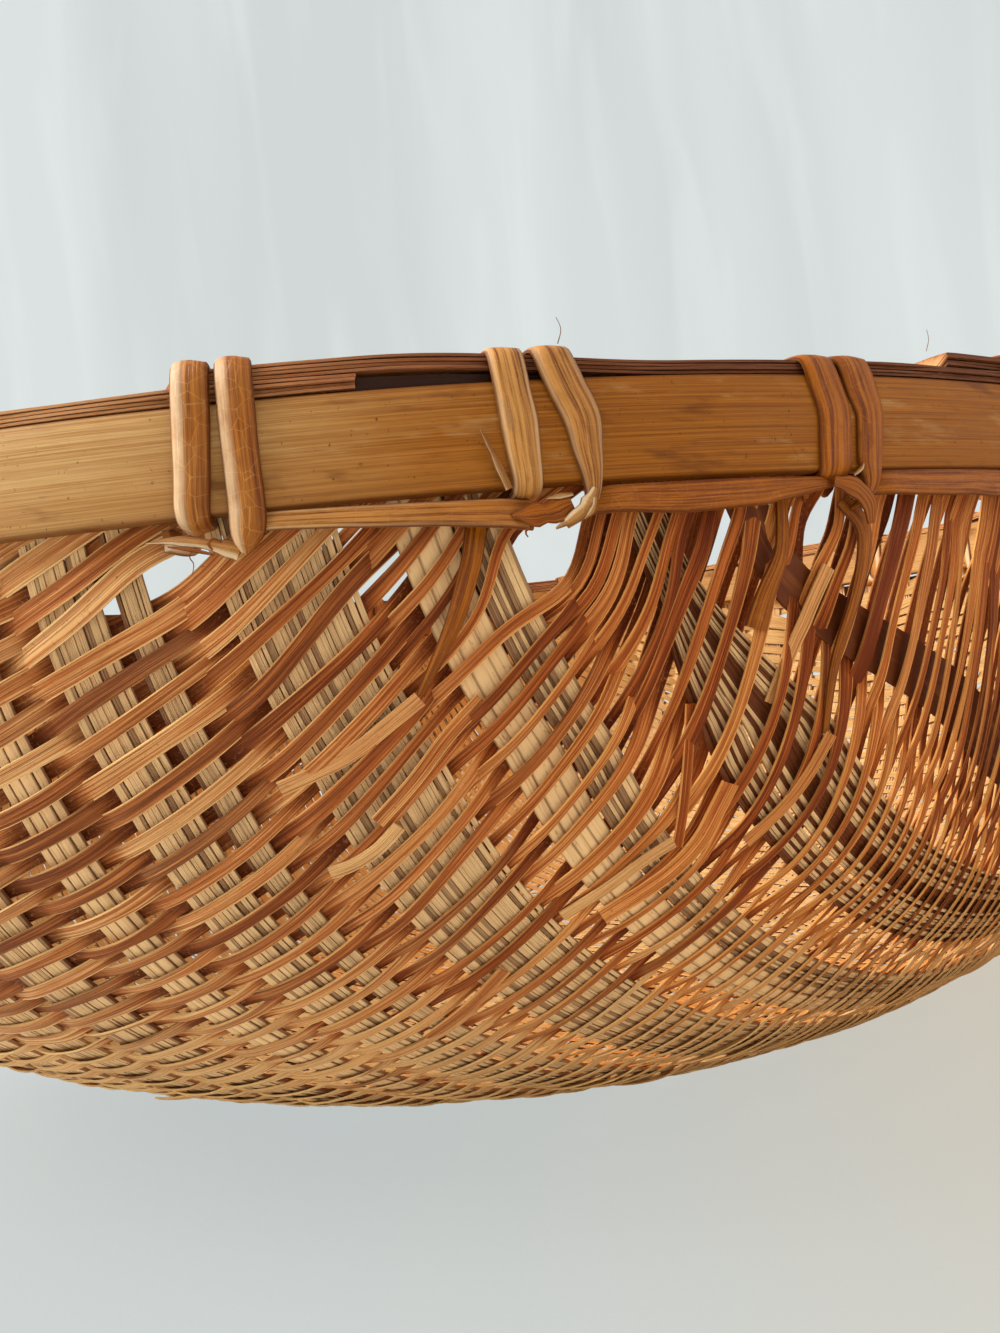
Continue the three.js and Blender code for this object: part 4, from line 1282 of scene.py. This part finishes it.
class BASKET_OT_filler(bpy.types.Operator):
    """Lay the filler lengths end over end on the hoops"""
    bl_idname = "basket.filler"
    bl_label = "Filler"

    def execute(self, context):
        form, rim, _ = plans()
        finish = filler_finish(context.scene.rim_form)
        rng = draws("filler")
        count = context.scene.rim_form.filler_lengths
        pitch = rim.perimeter / count
        layer = FILLER_THICKNESS / LAMINATIONS
        wide = form["rim_thickness"] - 2 * FILLER_SETBACK
        for k in range(count):
            strips = Strips()
            start = rim.arc_at(FIRST_PAIR_ANGLE) - FILLER_LEAD + k * pitch
            for level in range(LAMINATIONS):
                first = start - 1.2 + rng.random() * 0.5
                last = start + pitch + FILLER_LAP - rng.random() * 0.7
                arcs = np.append(np.arange(first, last - 1, FILLER_STEP), last)
                along = arcs - start
                rise = form["depth"] + GAP + filler_lift(along) + layer * (level + 0.5)
                shift = wander(rng, along, 25, 0.25) + rng.normal() * 0.15
                height = rise + wander(rng, along, 30, 0.05)
                middle = rim.point(arcs, -form["rim_thickness"] / 2 + shift, height)
                from_start = arcs - arcs[0]
                narrow = 0.72 + 0.28 * smooth(from_start / 3.5)
                # Paler by place round the rim, which is painted light, and pale at each length's cut start.
                pale = np.clip(lamp_side_light(rim.angle_at(arcs)) * 0.8 + 0.9 * (1 - smooth(from_start / 4)), 0, 1)
                strips.add(middle, (wide + wander(rng, along, 20, 0.2)) * narrow, layer * 0.9, SPLIT,
                           normal=upright(len(arcs)), **own_look(rng), worn=pale)
            self.shadow_strip(strips, rim, form, start, rng)
            strips.piece(f"filler_length_{k + 1:02d}", finish, "filler", [f"filler_{k + 1:02d}"])
        return {"FINISHED"}

    @staticmethod
    def shadow_strip(strips, rim, form, start, rng):
        """A thin near black strip in the wedge below the length, where it comes down to the hoops: painted
        shadow in the gap.
        """
        along = np.arange(FILLER_LAP - SHADOW_STRIP_LEAD, FILLER_LAP + FILLER_DESCENT, FILLER_STEP)
        thick = np.maximum(filler_lift(along) - 0.1, 0.2)
        middle = rim.point(start + along, -form["rim_thickness"] / 2, form["depth"] + 0.1 + thick / 2)
        wide = form["rim_thickness"] - 2 * SHADOW_STRIP_SETBACK
        strips.add(middle, wide, thick, SPLIT, normal=upright(len(along)),
                   tone=0.1, start=rng.random() * 300, worn=-1.0)


# Distance between the two turns of a pair, from middle to middle.
TURN_SPACING = 8.6

# Turns in view: for their first and second leg, the places from the middle of the pair and the widths at the
# top, halfway and at the foot; then how thick the strand is, and whether it tapers off below its second leg.
SEEN_TURNS = {
    25: (((-1.2, 6.8), (-2.2, 6.7), (-3.2, 6.5)), ((6.5, 6.7), (6.3, 6.6), (6.4, 6.8)), 2.9, False),
    0: (((-9.0, 7.0), (-7.9, 7.5), (-7.5, 6.2)), ((0.0, 7.7), (4.4, 7.6), (5.1, 4.4)), 1.8, True),
    1: (((-5.6, 8.0), (-3.2, 8.6), (-4.3, 8.2)), ((3.8, 8.6), (6.4, 7.7), (5.0, 6.6)), 1.7, True),
}

# Runs in view, by the pair that they leave: heights of the upper edge, and widths, from start to end.
SEEN_RUNS = {
    25: ((157.5, 156.9, 156.3, 156.0), (3.2, 4.0, 4.4, 6.2)),
    0: ((157.4, 157.3, 157.2, 156.6), (5.2, 6.4, 5.8, 1.8)),
    1: ((157.6, 157.8, 157.8, 157.4), (5.0, 5.9, 6.2, 5.6)),
}

# Scraps in view, by their pair: places along the rim, out and up, then widths, and how pale they are.
SEEN_SCRAPS = {
    25: (
        (((-12.0, 0.4, 154.1), (-7.0, 1.0, 153.9), (-1.0, 1.0, 152.6), (4.2, 0.7, 150.8)),
         (0.3, 1.4, 2.2, 3.6), 0.9),
        (((-8.0, 1.2, 152.9), (-4.0, 1.5, 151.9), (0.0, 1.4, 150.6)), (0.3, 0.7, 0.5), 0.1),
        (((-3.5, 1.4, 152.0), (-4.4, 1.9, 150.6), (-3.6, 1.9, 149.4), (-4.2, 1.6, 147.6)),
         (0.16, 0.2, 0.2, 0.1), 0.1),
        (((1.5, 1.0, 152.6), (0.2, 2.2, 153.4), (-0.8, 2.0, 152.6), (-0.2, 1.6, 151.4)),
         (0.3, 0.5, 0.5, 0.3), 0.1),
        (((-6.0, 0.8, 156.4), (-4.4, 1.4, 155.2), (-3.0, 1.2, 154.4)), (0.14, 0.2, 0.1), 0.5),
    ),
    0: (
        (((-11.5, 0.9, 152.6), (-7.6, 1.5, 152.4), (-4.0, 1.7, 152.6), (0.2, 1.1, 154.0)),
         (0.8, 4.4, 6.2, 3.2), 0.0),
        (((-4.8, 1.7, 155.2), (-2.4, 2.0, 155.4), (0.4, 1.7, 155.6)), (0.3, 1.3, 0.5), 1.0),
        (((-15.6, 1.3, 168.8), (-13.6, 1.2, 163.5), (-11.4, 0.9, 157.5)), (0.3, 1.1, 1.5), 0.55),
        (((5.0, 1.6, 156.4), (3.0, 2.1, 153.6), (0.2, 1.9, 151.4), (-3.4, 1.0, 149.6)),
         (1.6, 3.0, 2.4, 0.4), 1.0),
        (((4.6, 1.9, 154.6), (3.8, 2.3, 152.4), (2.0, 2.0, 150.8)), (1.0, 1.6, 0.3), 0.8),
        (((-7.5, 1.2, 150.6), (-9.5, 1.6, 149.4), (-9.0, 1.4, 148.4)), (0.3, 0.5, 0.3), 0.0),
        (((2.2, -2.0, 184.8), (2.9, -1.2, 187.4), (2.1, -1.0, 189.6)), (0.2, 0.16, 0.1), 0.2),
    ),
    1: (
        (((-5.5, 0.6, 155.6), (-1.0, 1.4, 154.0), (2.2, 1.5, 150.8), (2.6, 1.0, 146.5)),
         (2.0, 4.6, 4.0, 2.2), 0.0),
        (((-1.0, 1.6, 156.6), (0.8, 2.0, 157.8), (1.9, 1.6, 158.9)), (0.6, 0.9, 0.4), 1.0),
        (((28.0, -1.0, 184.0), (28.8, -0.6, 186.6), (28.2, -0.4, 188.6)), (0.2, 0.16, 0.1), 0.2),
    ),
}

# The pair at which a strand in view begins, so that no run comes to it from the pair before.
FRESH_START = 25


def filler_top(rim, pitch, form, low, high):
    """Top of the filler between two places round the rim, counted from the start of the first length."""
    after = np.mod(high, pitch)
    lift = FILLER_THICKNESS + GAP if after < high - low else filler_lift(np.mod(low, pitch))
    return form["depth"] + GAP + float(lift) + FILLER_THICKNESS


class Pair:
    """One pair of turns: how its legs lie, and how the strand runs on to the next pair."""

    def __init__(self, number, sizes, rng):
        wide = sizes["strand_width"]
        half = TURN_SPACING / 2
        drift = np.cumsum(rng.normal(size=(2, 3)) * 0.6, axis=1)
        swell = rng.normal(size=(2, 3)) * 0.25
        legs = [
            [(side * half + drift[leg, k] + slant * k, wide + swell[leg, k]) for k in range(3)]
            for leg, (side, slant) in enumerate(((-1, 0.3), (1, 0.9)))
        ]
        thick = 1.7 + rng.random()
        tapers = rng.random() > 0.5
        self.first, self.second, self.thick, self.tapers = SEEN_TURNS.get(number, (*legs, thick, tapers))
        run = sizes["run_width"] + rng.normal(size=4) * 0.3
        run[0] -= rng.random() * 2
        run[3] -= rng.random() * 3
        self.upper, self.run_widths = SEEN_RUNS.get(number, ((157.5, 157.4, 157.2, 156.6), run))
        loose = [self.tag(rng), self.hair(rng), self.hair(rng)]
        self.scraps = SEEN_SCRAPS.get(number, loose)

    @staticmethod
    def tag(rng):
        """A torn end of the strand below the turns."""
        place = -6 + rng.normal() * 3
        bend = rng.normal(size=3) * 0.8
        path = tuple((place + 3.2 * k, 1.2 + 0.3 * k, 154.5 - 1.2 * k + bend[k]) for k in range(3))
        return path, (0.5, 2 + 2.5 * rng.random(), 1 + 2 * rng.random()), rng.random()

    @staticmethod
    def hair(rng):
        """A fine fibre that has come loose."""
        place = rng.normal() * 6
        bend = rng.normal(size=3) * 1.2
        path = tuple((place + bend[k], 1.3 + 0.4 * k, 153.5 - 2.2 * k) for k in range(3))
        return path, (0.25, 0.3, 0.1), 0.2


class BASKET_OT_lashing(bpy.types.Operator):
    """Bind the rim with rattan strands, each twice round at two pairs of turns"""
    bl_idname = "basket.lashing"
    bl_label = "Lashing"

    def execute(self, context):
        form, rim, bowl = plans()
        sizes = in_millimetres(context.scene.rim_form)
        finish = rattan_finish(context.scene.rim_form)
        rng = draws("lashing")
        count = context.scene.rim_form.pairs
        pairs = [Pair(number, sizes, rng) for number in range(count)]
        filler_pitch = rim.perimeter / context.scene.rim_form.filler_lengths
        first_arc = rim.arc_at(FIRST_PAIR_ANGLE)
        spacing = rim.perimeter / count
        for strand in range(count // 2):
            strips = Strips()
            for number in (2 * strand - 1, 2 * strand):
                here = first_arc + number * spacing
                if number % count != FRESH_START:
                    end = here + pairs[number].first[2][0]
                    self.run(strips, rim, pairs[number - 1], here - spacing, end, rng)
                lead = here - first_arc + FILLER_LEAD
                over = filler_top(rim, filler_pitch, form, lead - 12, lead + 12)
                self.turns(strips, rim, form, here, pairs[number], over, rng)
                for scrap in pairs[number].scraps:
                    self.scrap(strips, rim, here, *scrap, rng)
            if strand == 0:
                self.loose_ends(strips, bowl, rng)
            name = f"{strand + 1:02d}"
            strips.piece(f"lashing_strand_{name}", finish, "rattan", [f"lashing_{name}"], crease=48)
        return {"FINISHED"}

    @staticmethod
    def stop(rim, arc, out, height, across, width):
        """A place on the strand's route: where it is, the direction of its width, and how wide it is."""
        arc = np.array([arc])
        directions = np.stack([rim.along(arc)[0], rim.outward(arc)[0], [0, 0, 1]])
        return np.concatenate([rim.point(arc, out, height)[0], np.array(across) @ directions, [width]])

    def turns(self, strips, rim, form, here, pair, over, rng):
        """Both turns of a pair: in below the hoop, up inside, over the filler, down outside, and again."""
        def at(along, out, height, width, across=(1, 0, 0)):
            return self.stop(rim, here + along, out, height, across, width)

        lift = 0.25 * pair.thick + 0.15
        deep = -form["rim_thickness"] - lift
        foot = form["depth"] - form["hoop_height"]
        halfway = form["depth"] - 8
        entry = pair.first[2][0] - 3
        route = [
            at(entry - 3, -3.0, foot - 3.4, 4.0, (0, 0, 1)),
            at(entry, deep + 3, foot - 3.4, 4.6, (0, 0, 1)),
            at(entry + 1, deep, foot - 2, 5.5, (0.7, 0, 0.7)),
            at(pair.first[0][0], deep, foot + 6, pair.first[0][1]),
        ]
        for leg in (pair.first, pair.second):
            (top, top_width), (middle, middle_width), (low, low_width) = leg
            route += [
                at(top - 0.8, deep, over - 3, top_width),
                at(top - 0.8, deep + 1.3, over + lift - 0.4, top_width),
                at(top - 0.6, deep + 4.5, over + lift, top_width),
                at(top - 0.3, -3.4, over + lift, top_width),
                at(top, -0.7, over + lift - 0.6, top_width),
                at(top + (middle - top) * 0.1, lift - 0.2, over - 2.6, top_width),
                at(top + (middle - top) * 0.5, lift, (over + halfway) / 2 - 1, top_width),
                at(middle, lift, halfway, middle_width),
                at((middle + low) / 2, lift, (halfway + foot) / 2, (middle_width + low_width) / 2),
                at(low, lift, foot + 1.6, low_width),
            ]
            if leg is pair.first:
                route += [
                    at(low, lift - 0.5, foot - 0.2, low_width * 0.97),
                    at(low, -1.6, foot - 1.1, low_width * 0.95),
                    at(low + 1, deep + 1.4, foot - 1.1, low_width),
                    at(pair.second[0][0] - 1, deep, foot + 1.4, low_width),
                ]
        if pair.tapers:
            route += [
                at(low - 0.5, lift, foot - 3.2, low_width * 0.6, (0.95, 0, -0.3)),
                at(low - 2.4, lift - 0.5, foot - 6, 1.6, (0.6, 0, -0.8)),
                at(low - 5.5, -1.2, foot - 8, 0.7, (0.6, 0, -0.8)),
            ]
        else:
            route += [
                at(low - 0.2, lift, foot - 3, low_width),
                at(low - 0.8, lift - 0.1, foot - 5.4, low_width * 0.8, (0.93, 0, 0.36)),
                at(low - 1.2, lift - 1.0, foot - 7, low_width * 0.35, (0.86, 0, 0.5)),
            ]
        places, across, width = rounded(np.array(route), TURN_STEP)
        run = running_length(places)
        self.add(strips, rim, places, width + wander(rng, run, 12, 0.12), pair.thick, HALF_ROUND, across, rng)

    def run(self, strips, rim, pair, start, end, rng):
        """The stretch below the hoop to the next pair, on edge, its ends tucked behind the turns."""
        arcs = np.arange(start + pair.second[2][0] - 1, end + RUN_STEP, RUN_STEP)
        along = arcs - arcs[0]
        share = along / along[-1]
        quarters = np.linspace(0, 1, 4)
        width = np.interp(share, quarters, pair.run_widths) + wander(rng, along, 8, 0.1)
        upper = np.interp(share, quarters, pair.upper) + wander(rng, along, 30, 0.12)
        from_ends = np.minimum(along, along[-1] - along)
        out = 0.35 - 2.2 * (1 - smooth(from_ends / 6)) + wander(rng, along, 20, 0.12)
        places = rim.point(arcs, out, upper - width / 2)
        lean = 0.12 + wander(rng, along, 25, 0.08)
        across = upright(len(arcs)) - rim.outward(arcs) * lean[:, None]
        self.add(strips, rim, places, width, 1.4, FLAT_STRAND, across, rng, 0.25)

    def scrap(self, strips, rim, here, path, widths, pale, rng):
        """A loose bit of strand or a hair, through places given from the middle of a pair."""
        stops = np.array([self.stop(rim, here + along, out, height, (1, 0, 0), width)
                          for (along, out, height), width in zip(path, widths)])
        outward = rim.outward(np.full(len(stops), here))
        stops[:, 3:6] = np.cross(outward, heading(stops[:, :3]))
        places, across, width = rounded(stops, SCRAP_STEP)
        section = HAIR if max(widths) < 0.6 else LAID_SPLIT
        thick = np.clip(width * 0.5, 0.1, 0.5)
        run = running_length(places)
        ragged = width * (1 + wander(rng, run, 1.6, 0.12))
        strips.add(places, ragged, thick, section, across=across, **own_look(rng), worn=pale)

    # Ends of strands that hang over the weave: places across the ribs and from the middle, widths, lifts.
    LOOSE_ENDS = (
        (((179.9, -250), (178.7, -245.3), (177.3, -242.5), (175.6, -239.9), (173.5, -238.2), (169.7, -235.9)),
         (4.2, 4.0, 3.8, 3.4, 2.6, 1.6), (1.5, 2.8, 3.6, 3.8, 3.4, 2.4)),
        (((214.4, -157), (215.3, -147.7), (214.8, -143.9), (213.2, -141.4), (209.9, -139.5), (206.8, -133.6)),
         (4.0, 4.2, 3.6, 3.0, 2.4, 1.6), (2.0, 3.6, 4.2, 4.2, 3.4, 2.2)),
        (((209.4, -179), (208.7, -173.1), (207.8, -170.2), (205.7, -169.2), (204.2, -167.2)),
         (2.8, 3.0, 3.4, 4.6, 5.4), (1.2, 2.4, 3.4, 3.2, 2.4)),
    )

    def loose_ends(self, strips, bowl, rng):
        """The ends of strands in view that hang over the weave."""
        for path, widths, lifts in self.LOOSE_ENDS:
            places, normals, width = on_bowl(bowl, path, widths, lifts)
            across = np.cross(normals, heading(places))
            strips.add(places, width, 1.0, FLAT_STRAND, across=across, **own_look(rng), worn=0.15)

    @staticmethod
    def add(strips, rim, places, width, thick, section, across, rng, lamp_light_share=1.0):
        """A stretch of strand, as pale as painted light makes it there."""
        worn = 0.2 + 0.8 * lamp_side_light(plan_angle(rim.half, places[:, 0], places[:, 1])) * lamp_light_share
        strips.add(places, width, thick, section, across=unit(across), **own_look(rng), worn=worn)


def on_bowl(bowl, path, widths, lifts):
    """A smooth line over the weave through places on the bowl, lifted off it, with its normals and widths."""
    points = np.array([place_on(bowl, *place) for place in path])
    normals = bowl.outward(points)
    lifted = points + normals * np.array(lifts)[:, None]
    places, normals, width = rounded(np.column_stack([lifted, normals, widths]), RUN_STEP)
    return places, unit(normals), width


def rounded(stops, spacing):
    """A smooth line through stops, whose rows hold a place, a direction and a width, at even steps."""
    places, rest = stops[:, :3], stops[:, 3:]
    padded = np.concatenate([[2 * places[0] - places[1]], places, [2 * places[-1] - places[-2]]])
    line, others = [], []
    for k in range(1, len(padded) - 2):
        p0, p1, p2, p3 = padded[k - 1:k + 3]
        span = np.linalg.norm(p2 - p1)
        m1 = (p2 - p0) / max(span + np.linalg.norm(p1 - p0), 1e-6) * span
        m2 = (p3 - p1) / max(np.linalg.norm(p3 - p2) + span, 1e-6) * span
        steps = max(2, int(span / spacing))
        t = (np.arange(steps) / steps)[:, None]
        line.append((2 * t ** 3 - 3 * t ** 2 + 1) * p1 + (t ** 3 - 2 * t ** 2 + t) * m1
                    + (-2 * t ** 3 + 3 * t ** 2) * p2 + (t ** 3 - t ** 2) * m2)
        others.append(rest[k - 1] * (1 - t) + rest[k] * t)
    line.append(places[-1:])
    others.append(rest[-1:])
    others = np.concatenate(others)
    return resampled(np.concatenate(line), spacing, others[:, :3], others[:, 3])


# Camera, lamps and cloth. Places and sizes are in metres, the film is in millimetres.
PICTURE_HEIGHT = 1333
FOCAL_PIXELS = 1200
CAMERA_PLACE = (0.3382, -0.3434, 0.1215)
CAMERA_TURN = math.radians(45.439)
CAMERA_PITCH = math.radians(1.036)
CAMERA_ROLL = math.radians(-6.565)
FILM = 36

# Each lamp's name, place, size and power, and the place they all face.
LAMPS = (("window", (-0.75, -1.35, 1.3), 1.1, 58), ("bounce", (1.5, 0.6, 0.7), 1.6, 8))
LAMPS_FACE = Vector((0.1, -0.1, 0.08))
ROOM_LIGHT = (1.0, 0.97, 0.93, 1)
ROOM_BRIGHTNESS = 0.72

CLOTH_RADIUS = 4.0
CLOTH_BEND = 1.2
CLOTH_WALL = 3.0
CLOTH_SIDES = 96
BEND_STEPS = 12


class BASKET_OT_stage(bpy.types.Operator):
    """Set the white cloth, the soft light and the camera"""
    bl_idname = "basket.stage"
    bl_label = "Stage"

    def execute(self, context):
        self.cloth(cloth_finish(context.scene.sweep_form))
        self.camera(context)
        self.lamps(context)
        return {"FINISHED"}

    @staticmethod
    def cloth(finish):
        """A floor that curves up into a backdrop all round, so that every view has one."""
        profile = [(0.0, 0.0), (CLOTH_RADIUS / 2, 0.0), (CLOTH_RADIUS, 0.0)]
        for turn in math.pi / 2 * np.arange(1, BEND_STEPS + 1) / BEND_STEPS:
            profile.append((CLOTH_RADIUS + CLOTH_BEND * math.sin(turn), CLOTH_BEND * (1 - math.cos(turn))))
        profile.append((CLOTH_RADIUS + CLOTH_BEND, CLOTH_BEND + CLOTH_WALL))
        angles = np.linspace(0, 2 * math.pi, CLOTH_SIDES, endpoint=False)
        round_once = np.column_stack([np.cos(angles), np.sin(angles)])
        corners = [(*(far * place), height) for far, height in profile for place in round_once]
        number = np.arange(len(corners)).reshape(len(profile), CLOTH_SIDES)
        following = np.roll(number, -1, axis=1)
        faces = np.stack([number[:-1], following[:-1], following[1:], number[1:]], axis=-1).reshape(-1, 4)
        mesh = bpy.data.meshes.new("white_cloth")
        mesh.from_pydata(corners, [], faces.tolist())
        mesh.shade_smooth()
        mesh.materials.append(finish)
        made = bpy.data.objects.new("white_cloth", mesh)
        bpy.context.scene.collection.objects.link(made)

    @staticmethod
    def camera(context):
        ahead = np.array([-math.cos(CAMERA_TURN) * math.cos(CAMERA_PITCH),
                          math.sin(CAMERA_TURN) * math.cos(CAMERA_PITCH), math.sin(CAMERA_PITCH)])
        right = unit(np.cross(ahead, (0, 0, 1)))
        down = np.cross(ahead, right)
        level = right * math.cos(CAMERA_ROLL) - down * math.sin(CAMERA_ROLL)
        lower = right * math.sin(CAMERA_ROLL) + down * math.cos(CAMERA_ROLL)
        lens = bpy.data.cameras.new("camera")
        lens.sensor_fit = "AUTO"
        lens.sensor_width = FILM
        lens.lens = FILM * FOCAL_PIXELS / PICTURE_HEIGHT
        lens.clip_start = 0.005
        made = bpy.data.objects.new("camera", lens)
        rows = np.column_stack([level, -lower, -ahead, CAMERA_PLACE])
        made.matrix_world = Matrix([*rows.tolist(), [0, 0, 0, 1]])
        context.scene.collection.objects.link(made)
        context.scene.camera = made

    @staticmethod
    def lamps(context):
        for name, place, size, power in LAMPS:
            lamp = bpy.data.lights.new(name, "AREA")
            lamp.shape = "SQUARE"
            lamp.size = size
            lamp.energy = power
            made = bpy.data.objects.new(name, lamp)
            made.location = place
            made.rotation_euler = (LAMPS_FACE - Vector(place)).to_track_quat("-Z", "Y").to_euler()
            context.scene.collection.objects.link(made)
        world = bpy.data.worlds.new("room")
        world.use_nodes = True
        sky = world.node_tree.nodes["Background"]
        sky.inputs["Color"].default_value = ROOM_LIGHT
        sky.inputs["Strength"].default_value = ROOM_BRIGHTNESS
        context.scene.world = world
        context.scene.view_settings.view_transform = "Standard"


GROUPS = {"basket_form": BasketForm, "weave_form": WeaveForm, "rim_form": RimForm, "sweep_form": SweepForm}
OPERATORS = (
    BASKET_OT_wefts,
    BASKET_OT_ribs,
    BASKET_OT_hoops,
    BASKET_OT_filler,
    BASKET_OT_lashing,
    BASKET_OT_stage,
)


class BASKET_PT_panel(bpy.types.Panel):
    """Sizes and colours of the basket, and its pieces in their order"""
    bl_idname = "BASKET_PT_panel"
    bl_label = "Bamboo basket"
    bl_space_type = "VIEW_3D"
    bl_region_type = "UI"
    bl_category = "Basket"

    def draw(self, context):
        for group in GROUPS:
            box = self.layout.box()
            values = getattr(context.scene, group)
            for name in values.__annotations__:
                box.prop(values, name)
        for operator in OPERATORS:
            self.layout.operator(operator.bl_idname)


CLASSES = (*GROUPS.values(), *OPERATORS, BASKET_PT_panel)


def register():
    for each in CLASSES:
        bpy.utils.register_class(each)
    for name, group in GROUPS.items():
        setattr(bpy.types.Scene, name, PointerProperty(type=group))


def unregister():
    for name in GROUPS:
        delattr(bpy.types.Scene, name)
    for each in reversed(CLASSES):
        bpy.utils.unregister_class(each)


def main():
    register()
    bpy.ops.basket.wefts()
    bpy.ops.basket.ribs()
    bpy.ops.basket.hoops()
    bpy.ops.basket.filler()
    bpy.ops.basket.lashing()
    bpy.ops.basket.stage()


if __name__ == "__main__":
    main()
